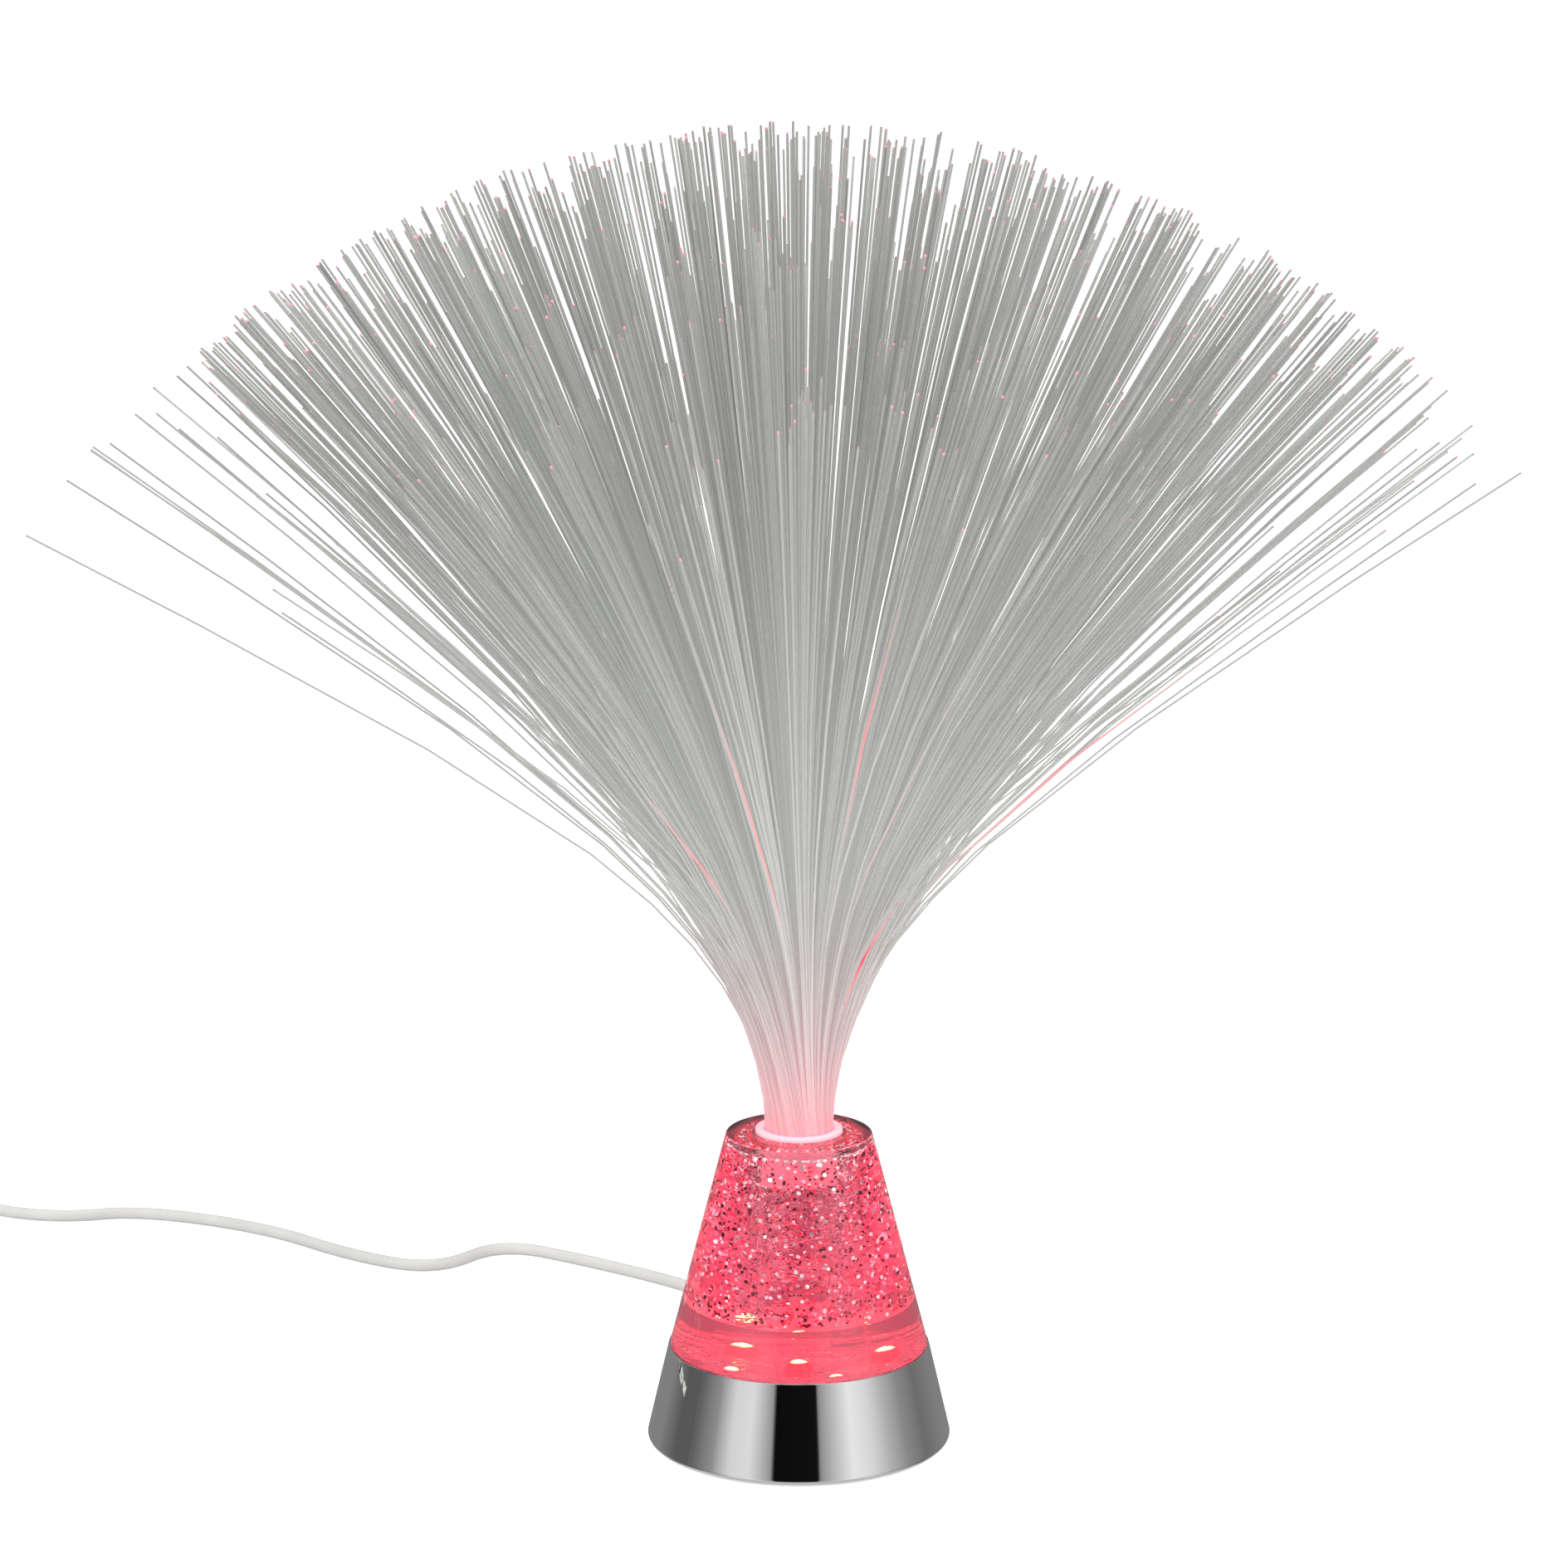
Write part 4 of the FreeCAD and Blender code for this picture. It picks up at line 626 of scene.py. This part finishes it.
plug_bottom, ferrule_seat = 70.55, 71.35
flange_bottom, flange_top = 83.35, 84.55
seat_hole, plug_hole, plug_radius, flange_radius = 8.2, 9.2, 10.2, 11.35
collar = turned("fibre_head_plug", [
    (seat_hole, plug_bottom),
    (plug_radius, plug_bottom, 0.3),
    (plug_radius, flange_bottom),
    (flange_radius, flange_bottom, 0.2),
    (flange_radius, flange_top, 0.4),
    (plug_hole, flange_top, 0.3),
    (plug_hole, ferrule_seat),
    (seat_hole, ferrule_seat),
])

# Polypropylene lit from below: milky, with a painted pink glow that is paler on the flange and uneven in
# patches about 5 mm wide
lit_collar = new_finish("lit_milky_polypropylene")
place = add_node(lit_collar, "ShaderNodeTexCoord").outputs["Object"]
height = add_node(lit_collar, "ShaderNodeSeparateXYZ", {"Vector": place}).outputs["Z"]
glow_patches = add_node(lit_collar, "ShaderNodeTexNoise", {"Vector": place, "Scale": 1 / (5 * mm)})
flange_share = add_node(lit_collar, "ShaderNodeMapRange",
                        {"Value": height, "From Min": 82 * mm, "From Max": 84.5 * mm})
collar_colour = add_node(lit_collar, "ShaderNodeMix",
                         {"Factor": flange_share.outputs["Result"], "A": linear("#ff7c92"),
                          "B": linear("#ff98aa")}, data_type="RGBA")
collar_power = add_node(lit_collar, "ShaderNodeMapRange",
                        {"Value": glow_patches.outputs["Fac"], "To Min": 0.62, "To Max": 0.82})
collar_shader = add_node(lit_collar, "ShaderNodeBsdfPrincipled",
                         {"Base Color": linear("#d8c8ca"), "Roughness": 0.4,
                          "Emission Color": collar_colour.outputs["Result"],
                          "Emission Strength": collar_power.outputs["Result"]})
add_node(lit_collar, "ShaderNodeOutputMaterial", {"Surface": collar_shader.outputs["BSDF"]})
collar.data.materials.append(lit_collar)
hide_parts("head_collar")
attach(collar, "head_plug")


# Bundle ferrule. The real one is a thin aluminium sleeve crimped round the
# fibres' polished lower end, so that the spray can turn in the plug.

# Rolled aluminium: soft sheen, drawing lines about 0.4 mm apart
aluminium = marked_finish("drawn_aluminium", "#d2d3d5", 0.4, (0.25, 0.45))
dress("bundle_sleeve", aluminium)


# Fibres. The real ones are more than a thousand clear acrylic threads half a
# millimetre thick, fanned out by their own bend and cut to about one length.

fibre_pitch, fibre_radius = 0.445, 0.29
bundle_radius, edge_radius = 8.5, 8.3
row_share = 0.866    # distance of two rows of a honeycomb, as a share of its pitch
lock_pitch = 1.34
fibre_bottom, fan_start = 71.4, 83.5
fan_length, fan_tilt = 262, math.radians(48)
# Length in mm over which a fibre comes to its tilt, and how suddenly, in the fan and on a stray
fan_bend, stray_bend = (57, 0.9), (52, 1.25)
neck_twist = math.radians(30)
walk_step = 3.0
bend_stations = [0, 9, 19, 30, 42, 55, 70, 90]
straight_shares = [0.3, 0.7]
tip_length = 0.4
fibre_draw = random.Random(12)


def lock_places(ring):
    """Places of one six-sided ring of the bundle's locks of about seven fibres."""
    if ring == 0:
        return [(0.0, 0.0)]
    places = []
    for side in range(6):
        here, ahead = math.radians(60 * side), math.radians(60 * side + 120)
        for step in range(ring):
            places.append((lock_pitch * (ring * math.cos(here) + step * math.cos(ahead)),
                           lock_pitch * (ring * math.sin(here) + step * math.sin(ahead))))
    return places


def fibre_route(x, y, lean_x, lean_y, tilt, bend, length, sag):
    """Points of one fibre, in mm: up through the ferrule, then bending outwards to its tilt."""
    outward, start = math.atan2(lean_y, lean_x), math.atan2(y, x)
    swing = (outward - start + math.pi) % math.tau - math.pi
    radius, up, walked = math.hypot(x, y), fan_start, 0.0
    points = []
    marks = bend_stations + [bend_stations[-1] + (length - bend_stations[-1]) * s for s in straight_shares]
    marks += [length - tip_length, length]
    for mark in marks:
        while walked < mark - 1e-6:
            step = min(walk_step, mark - walked)
            middle = walked + step / 2
            angle = (tilt * (1 - math.exp(-(middle / bend[0]) ** bend[1]))
                     + sag * (middle / fan_length) ** 2)
            radius += step * math.sin(angle)
            up += step * math.cos(angle)
            walked += step
        around = start + swing * (1 - math.exp(-walked / 30)) + neck_twist * math.exp(-walked / 25)
        points.append((radius * math.cos(around), radius * math.sin(around), up))
    return [(points[0][0], points[0][1], fibre_bottom)] + points


# Each lock leans its own way, and every fourth one of the outermost ring strays, as in the solids
locks = []
for ring in range(7):
    for index, (x, y) in enumerate(lock_places(ring)):
        locks.append((x, y, x + fibre_draw.gauss(0, 0.3), y + fibre_draw.gauss(0, 0.3),
                      fibre_draw.gauss(0, 1), ring, ring == 6 and index % 4 == 2))
rows = {ring: [] for ring in range(7)}
most_rows = int(bundle_radius / fibre_pitch / row_share) + 1
for row in range(-most_rows, most_rows + 1):
    for column in range(-2 * most_rows, 2 * most_rows + 1):
        x = (column + 0.5 * (row % 2)) * fibre_pitch
        y = row * fibre_pitch * row_share
        if math.hypot(x, y) > bundle_radius:
            continue
        lock = min(locks, key=lambda l: (l[0] - x) ** 2 + (l[1] - y) ** 2)
        pull = fibre_draw.uniform(0.35, 0.8)
        lean_x = x + (lock[2] - x) * pull + fibre_draw.gauss(0, 0.15)
        lean_y = y + (lock[3] - y) * pull + fibre_draw.gauss(0, 0.15)
        share = min(math.hypot(lean_x, lean_y) / edge_radius, 1.05)
        tilt, bend = fan_tilt * share, fan_bend
        if lock[6] and fibre_draw.random() < 0.75 or share > 0.8 and fibre_draw.random() < 0.08:
            tilt, bend = math.radians(fibre_draw.uniform(47, 60)) * share, stray_bend
        length = fan_length - 6 * share - 1.5 * abs(lock[4]) - 4 * fibre_draw.random() ** 2
        if fibre_draw.random() < 0.05:
            length *= fibre_draw.uniform(0.75, 0.97)
        sag = math.radians(2.5 * share + 0.7 * fibre_draw.gauss(0, 1))
        tone = min(max(0.5 + 0.16 * lock[4] + 0.2 * fibre_draw.gauss(0, 1), 0), 1)
        rows[lock[5]].append([fibre_route(x, y, lean_x, lean_y, tilt, bend, length, sag), tone, None])

# Streaks where light leaks from a front fibre: place across, height of the middle and half length
for across, middle, half in ((-6, 161, 40), (-9, 175, 24), (10, 192, 18), (23, 181, 12), (46, 174, 18),
                             (57, 182, 20), (20, 134, 8), (-30, 171, 14)):
    nearest = None
    for fibre in (fibre for row in rows.values() for fibre in row):
        for lower, upper in zip(fibre[0], fibre[0][1:]):
            if lower[2] < middle <= upper[2]:
                share = (middle - lower[2]) / (upper[2] - lower[2])
                x, y = (a + (b - a) * share for a, b in zip(lower[:2], upper[:2]))
                if abs(x - across) < 4 and (nearest is None or y < nearest[0]):
                    nearest = (y, fibre)
    nearest[1][2] = (middle, half)

# Acrylic fibre: clear, so its grey base colour is painted, the grey of the room seen through it; red light
# leaks out where it bends most
fibre_finish = new_finish("clear_acrylic_fibre")
place = add_node(fibre_finish, "ShaderNodeTexCoord").outputs["Object"]
tone = add_node(fibre_finish, "ShaderNodeAttribute", attribute_name="tone").outputs["Fac"]
leak = add_node(fibre_finish, "ShaderNodeAttribute", attribute_name="leak").outputs["Fac"]
painted_room_grey = add_node(fibre_finish, "ShaderNodeMix",
                      {"Factor": tone, "A": linear("#878885"), "B": linear("#b2b3b0")},
                      data_type="RGBA")
height = add_node(fibre_finish, "ShaderNodeSeparateXYZ", {"Vector": place}).outputs["Z"]
neck_share = add_node(fibre_finish, "ShaderNodeMapRange",
                      {"Value": height, "From Min": 84 * mm, "From Max": 195 * mm,
                       "To Min": 1.0, "To Max": 0.0})
neck_glow = add_node(fibre_finish, "ShaderNodeMath", {0: neck_share.outputs["Result"], 1: 4.0},
                     operation="POWER")
# Painted light: a grey glow, strongest low in the fan and fading upwards, lifts the shade that the fibres
# cast on each other
painted_fill_glow = add_node(fibre_finish, "ShaderNodeMapRange",
                      {"Value": height, "From Min": 145 * mm, "From Max": 300 * mm,
                       "To Min": 0.43, "To Max": 0.11}, interpolation_type="SMOOTHSTEP")
neck_colour = add_node(fibre_finish, "ShaderNodeMix",
                       {"Factor": neck_glow.outputs["Value"], "A": linear("#c6c7c4"),
                        "B": linear("#ff8298")}, data_type="RGBA")
fibre_glow = add_node(fibre_finish, "ShaderNodeMix",
                      {"Factor": leak, "A": neck_colour.outputs["Result"], "B": linear("#ff2848")},
                      data_type="RGBA")
steady_power = add_node(fibre_finish, "ShaderNodeMath",
                        {0: neck_glow.outputs["Value"], 1: 0.3, 2: painted_fill_glow.outputs["Result"]},
                        operation="MULTIPLY_ADD")
fibre_power = add_node(fibre_finish, "ShaderNodeMath", {0: steady_power.outputs["Value"], 1: leak},
                       operation="ADD")
fibre_colour = add_node(fibre_finish, "ShaderNodeMix",
                        {"Factor": leak, "A": painted_room_grey.outputs["Result"], "B": linear("#7c1c30")},
                        data_type="RGBA")
fibre_shader = add_node(fibre_finish, "ShaderNodeBsdfPrincipled",
                        {"Base Color": fibre_colour.outputs["Result"], "Roughness": 0.3, "IOR": 1.49,
                         "Emission Color": fibre_glow.outputs["Result"],
                         "Emission Strength": fibre_power.outputs["Value"]})
add_node(fibre_finish, "ShaderNodeOutputMaterial", {"Surface": fibre_shader.outputs["BSDF"]})

# Cut fibre end: the red light comes out here as a small bright dot
fibre_tip = new_finish("lit_fibre_end")
place = add_node(fibre_tip, "ShaderNodeTexCoord").outputs["Object"]
spark = add_node(fibre_tip, "ShaderNodeTexNoise", {"Vector": place, "Scale": 1 / (4 * mm)})
tip_power = add_node(fibre_tip, "ShaderNodeMapRange",
                     {"Value": spark.outputs["Fac"], "From Min": 0.55, "From Max": 0.62, "To Min": 0.1,
                      "To Max": 1.8})
tip_shader = add_node(fibre_tip, "ShaderNodeBsdfPrincipled",
                      {"Base Color": linear("#a89496"), "Roughness": 0.2, "IOR": 1.49,
                       "Emission Color": linear("#ff4868"),
                       "Emission Strength": tip_power.outputs["Result"]})
add_node(fibre_tip, "ShaderNodeOutputMaterial", {"Surface": tip_shader.outputs["BSDF"]})

for ring, fibres in rows.items():
    node_name = f"fibres_ring_{ring}" if ring else "fibres_centre"
    threads = bpy.data.curves.new(f"threads_{ring}", "CURVE")
    threads.dimensions = "3D"
    threads.bevel_depth = fibre_radius * mm
    threads.bevel_resolution = 0
    threads.use_fill_caps = True
    for route, tone, leak in fibres:
        line = threads.splines.new("POLY")
        line.points.add(len(route) - 1)
        line.points.foreach_set("co", [c for x, y, z in route for c in (x * mm, y * mm, z * mm, 1)])
    thread_row = bpy.data.objects.new(f"fibre_row_{ring}", threads)
    bpy.context.scene.collection.objects.link(thread_row)
    bpy.context.view_layer.objects.active = thread_row
    thread_row.select_set(True)
    bpy.ops.object.convert(target="MESH")
    thread_row = bpy.context.object
    mesh = thread_row.data
    # The mesh has the caps of all its lines first, from the last line to the first, then the walls
    caps, stations = 8 * len(fibres), len(fibres[0][0])
    tones = [tone for route, tone, leak in reversed(fibres) for _ in range(8)]
    tones += [tone for route, tone, leak in fibres for _ in range(4 * stations)]
    leaks = [0.0] * caps
    for route, tone, leak in fibres:
        shares = [max(0.0, 1 - abs(up - leak[0]) / (leak[1] + 10)) if leak else 0.0 for _, _, up in route]
        leaks += [share for share in shares for _ in range(4)]
    mesh.attributes.new("tone", "FLOAT", "POINT").data.foreach_set("value", tones)
    mesh.attributes.new("leak", "FLOAT", "POINT").data.foreach_set("value", leaks)
    mesh.materials.clear()
    mesh.materials.append(fibre_finish)
    mesh.materials.append(fibre_tip)
    for face in mesh.polygons:
        if all(v % 8 < 4 if v < caps else (v - caps) // 4 % stations >= stations - 2
               for v in face.vertices):
            face.material_index = 1
    bpy.ops.object.mode_set(mode="EDIT")
    bpy.ops.mesh.select_all(action="SELECT")
    bpy.ops.mesh.remove_doubles(threshold=0.001 * mm)
    bpy.ops.object.mode_set(mode="OBJECT")
    bpy.ops.object.shade_smooth_by_angle(angle=math.radians(95))
    bpy.ops.object.select_all(action="DESELECT")
    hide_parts(node_name)
    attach(thread_row, "fibre_bundle")


# Cord from the lamp to the switch. The real one is a thin two-core lead with
# a light grey PVC sheath, 3.4 mm thick, that lies on the table behind the lamp.

def cord_line(name, points):
    """A round cord along control points, in mm."""
    data = bpy.data.curves.new(name, "CURVE")
    data.dimensions = "3D"
    data.bevel_depth = cord_radius * mm
    data.bevel_resolution = 6
    data.resolution_u = 12
    data.use_fill_caps = True
    line = data.splines.new("NURBS")
    line.points.add(len(points) - 1)
    line.points.foreach_set("co", [c for x, y, z in points for c in (x * mm, y * mm, z * mm, 1)])
    line.order_u = 3
    line.use_endpoint_u = True
    cord = bpy.data.objects.new(name, data)
    bpy.context.scene.collection.objects.link(cord)
    data.materials.append(cord_pvc)
    return cord


cord_radius = 1.7
rest_height, case_axis = 1.75, 5.6
lead_points = [
    (0, 50, relief_height), (0, 61, relief_height), (-3.5, 78, rest_height), (-12.5, 98, rest_height),
    (-31, 121, rest_height), (-60, 143.5, rest_height), (-87, 160.5, rest_height),
    (-104, 135.5, rest_height), (-129, 148, rest_height), (-158, 176, rest_height),
    (-197, 192.7, rest_height), (-218, 186, rest_height), (-239, 192, rest_height),
    (-252, 193, case_axis), (-270, 193, case_axis),
]
lead = cord_line("cord_to_switch", lead_points)
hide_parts("cord_lead")
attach(lead, "lamp_base")


# In-line switch. The real one is a small white ABS case in two halves, held
# by two screws, with a black rocker that pushes a brass bridge on two terminals.

# White ABS: moulded with a fine satin grain of 0.3 mm
white_abs = grained_finish("white_moulded_abs", "ShaderNodeTexNoise", 0.3, ("#d8d7d3", "#e6e5e1"),
                           {"Roughness": 0.42, "IOR": 1.53}, bump=(0.25, 0.04))
dress("switch_case_top", white_abs)
dress("switch_case_bottom", white_abs)
dress("switch_rocker", black_abs)

# Stamped brass: yellow metal, tarnished in patches of 1 mm
brass = grained_finish("stamped_brass", "ShaderNodeTexNoise", 1.0, ("#b08a45", "#d8b868"),
                       {"Metallic": 1.0, "Roughness": 0.3})
dress("contact_bridge", brass)
dress("switch_terminals", brass)
dress("switch_wires", brass)
dress("plug_contacts", brass)


# Cord from the switch to the plug. The same lead, wound for storage into two
# layers of four turns and held by a black hook-and-loop strap.

coil_x, coil_y = -310, 140
coil_outer, coil_inner, half_pitch = 26, 10.4, 1.95
coil_side = coil_x - coil_outer
low_layer, high_layer = 2.75, 6.65
half_turns = [(coil_outer - half_pitch * i, low_layer, low_layer) for i in range(8)]
half_turns.append((coil_inner, low_layer, high_layer))
half_turns += [(coil_inner + half_pitch * (i + 1), high_layer, high_layer) for i in range(7)]
coil_points = []
here, side, per_half = coil_side, 1, 6
for radius, low, high in half_turns:
    middle = here + side * radius
    reach = radius / math.cos(math.pi / per_half / 2)
    for k in range(per_half):
        angle = math.pi * (k + 0.5) / per_half
        coil_points.append((middle - side * reach * math.cos(angle),
                            coil_y - side * reach * math.sin(angle),
                            low + (high - low) * (k + 0.5) / per_half))
    here += 2 * side * radius
    side = -side
tail_in_points = [(-300, 193, case_axis), (-322, 193, case_axis), (-333, 178, 3.6),
                  (coil_side, 158, low_layer), (coil_side, 143.4, low_layer)]
tail_out_points = [(coil_side, 136.6, high_layer), (coil_side, 127, high_layer),
                   (-339, 113, 4.3), (-339, 102, 4.3)]
tail = cord_line("cord_to_plug", tail_in_points + coil_points + tail_out_points)
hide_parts("cord_tail_in", "cord_coil", "cord_tail_out")
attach(tail, "lamp_base")

# Hook-and-loop strap: woven nylon, loops about 0.5 mm apart
strap = grained_finish("black_nylon_loop", "ShaderNodeTexVoronoi", 0.5, ("#2c2c2e", "#0e0e0f"),
                       {"Roughness": 0.9, "Sheen Weight": 0.3}, bump=(0.7, 0.2))
dress("coil_tie", strap)


# Plug. The real one is a USB-A plug: a white grip moulded over a folded
# nickel-plated steel shell, with a black tongue that carries four contacts.

# Nickel plate: warm bright metal, rolled lines about 0.25 mm apart
nickel = marked_finish("nickel_plated_steel", "#cfc9be", 0.25, (0.16, 0.3))
dress("plug_shell", nickel)
dress("plug_grip", white_abs)
dress("plug_tongue", black_abs)


# Studio: a pale floor, soft lamps at both sides and above, and a wall of
# light and dark panels that only shiny and clear surfaces see.

bpy.ops.mesh.primitive_circle_add(vertices=64, radius=5.0, fill_type="NGON", location=(0, 0, 0))
floor = bpy.context.object
floor.name = "studio_floor"
paper = new_finish("pale_paper_floor")
seen = add_node(paper, "ShaderNodeLightPath")
place = add_node(paper, "ShaderNodeTexCoord").outputs["Object"]
fibre_noise = add_node(paper, "ShaderNodeTexNoise", {"Vector": place, "Scale": 400.0})
paper_tone = add_node(paper, "ShaderNodeMix",
                      {"Factor": fibre_noise.outputs["Fac"], "A": linear("#f2f2f2"),
                       "B": linear("#f8f8f8")}, data_type="RGBA")
paper_matt = add_node(paper, "ShaderNodeBsdfDiffuse", {"Color": paper_tone.outputs["Result"]})
paper_white = add_node(paper, "ShaderNodeEmission", {"Color": linear("#ffffff"), "Strength": 0.52})
both = add_node(paper, "ShaderNodeAddShader",
                {0: paper_matt.outputs["BSDF"], 1: paper_white.outputs["Emission"]})
floor_mix = add_node(paper, "ShaderNodeMixShader",
                     {"Fac": seen.outputs["Is Camera Ray"], 1: paper_matt.outputs["BSDF"],
                      2: both.outputs["Shader"]})
add_node(paper, "ShaderNodeOutputMaterial", {"Surface": floor_mix.outputs["Shader"]})
floor.data.materials.append(paper)
floor.visible_glossy = False
floor.visible_transmission = False
floor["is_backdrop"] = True

bpy.ops.mesh.primitive_cylinder_add(vertices=96, radius=1.8, depth=4.0, end_fill_type="NOTHING",
                                    location=(0, 0, 0.4))
wall_ring = bpy.context.object
wall_ring.name = "studio_wall"
bpy.ops.object.transform_apply(location=True, rotation=True, scale=True)
panels = new_finish("studio_panels")
place = add_node(panels, "ShaderNodeTexCoord").outputs["Object"]
around = add_node(panels, "ShaderNodeTexGradient", {"Vector": place}, gradient_type="RADIAL")
panel_tones = add_node(panels, "ShaderNodeValToRGB", {"Fac": around.outputs["Fac"]})
panel_ramp = panel_tones.color_ramp
# Brightness of the wall by direction in degrees: a dark strip ahead, bright panels beside it
brightness = [(-178, 0.23), (-131, 0.24), (-106, 0.11), (-87, 0.13), (-68, 0.30), (-53, 0.73),
              (-38, 0.80), (-21, 0.32), (-19, 0.004), (14, 0.006), (16, 0.30), (29, 0.60), (41, 0.90),
              (57, 0.75), (73, 0.47), (89, 0.28), (110, 0.17), (137, 0.23), (178, 0.23)]


def ramp_place(degrees):
    """Place on the ramp of a direction counted from the camera's side, right positive."""
    return (0.25 + degrees / 360) % 1.0


stops = sorted((ramp_place(degrees), value) for degrees, value in brightness)
panel_ramp.elements[0].position, panel_ramp.elements[1].position = stops[0][0], stops[-1][0]
panel_ramp.elements[0].color = [stops[0][1]] * 3 + [1]
panel_ramp.elements[1].color = [stops[-1][1]] * 3 + [1]
for position, value in stops[1:-1]:
    panel_ramp.elements.new(position).color = [value] * 3 + [1]
squeezed = add_node(panels, "ShaderNodeMapping", {"Vector": place, "Scale": (1, 1, 8)})
blinds = add_node(panels, "ShaderNodeTexNoise",
                  {"Vector": squeezed.outputs["Vector"], "Scale": 1.2, "Detail": 1.0})
through_vessel = add_node(panels, "ShaderNodeMapRange",
                          {"Value": blinds.outputs["Fac"], "From Min": 0.52, "From Max": 0.64,
                           "To Min": 0.04, "To Max": 0.75})
seen = add_node(panels, "ShaderNodeLightPath")
panel_view = add_node(panels, "ShaderNodeMix",
                      {"Factor": seen.outputs["Is Transmission Ray"],
                       "A": panel_tones.outputs["Color"], "B": through_vessel.outputs["Result"]},
                      data_type="RGBA")
panel_light = add_node(panels, "ShaderNodeEmission",
                       {"Color": panel_view.outputs["Result"], "Strength": 1.0})
add_node(panels, "ShaderNodeOutputMaterial", {"Surface": panel_light.outputs["Emission"]})
wall_ring.data.materials.append(panels)
wall_ring.visible_camera = False
wall_ring.visible_diffuse = False
wall_ring.visible_shadow = False
wall_ring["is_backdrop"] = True

for name, place, size_of_lamp, power in (("left_lamp", (-1.2, -1.0, 1.2), 1.0, 16),
                                         ("right_lamp", (1.2, -1.0, 1.2), 1.0, 16),
                                         ("top_lamp", (0, 0.1, 1.7), 1.4, 14)):
    lamp_data = bpy.data.lights.new(name, "AREA")
    lamp_data.size = size_of_lamp
    lamp_data.energy = power
    lamp = bpy.data.objects.new(name, lamp_data)
    lamp.location = place
    aim = [-place[0], -place[1], 0.2 - place[2]]
    lamp.rotation_euler = (math.atan2(math.hypot(aim[0], aim[1]), -aim[2]), 0,
                           math.atan2(-aim[0], aim[1]))
    lamp.visible_glossy = False
    bpy.context.scene.collection.objects.link(lamp)

world = bpy.data.worlds.new("studio_world")
world.use_nodes = True
world.node_tree.nodes.clear()
seen = add_node(world, "ShaderNodeLightPath")
air_strength = add_node(world, "ShaderNodeMix",
                        {"Factor": seen.outputs["Is Camera Ray"], "A": 0.55, "B": 1.0})
air = add_node(world, "ShaderNodeBackground",
               {"Color": linear("#ffffff"), "Strength": air_strength.outputs["Result"]})
add_node(world, "ShaderNodeOutputWorld", {"Surface": air.outputs["Background"]})
bpy.context.scene.world = world


# Camera: a long lens from 1.3 m, looking slightly down on the lamp.

camera_data = bpy.data.cameras.new("product_camera")
camera_data.lens = 119.5
camera_data.sensor_width = 36
camera = bpy.data.objects.new("product_camera", camera_data)
camera.location = (-0.0039, -1.300, 0.4676)
camera.rotation_euler = (math.radians(77.35), 0, 0)
bpy.context.scene.collection.objects.link(camera)
bpy.context.scene.camera = camera
bpy.context.scene.view_settings.view_transform = "Standard"

low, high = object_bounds()
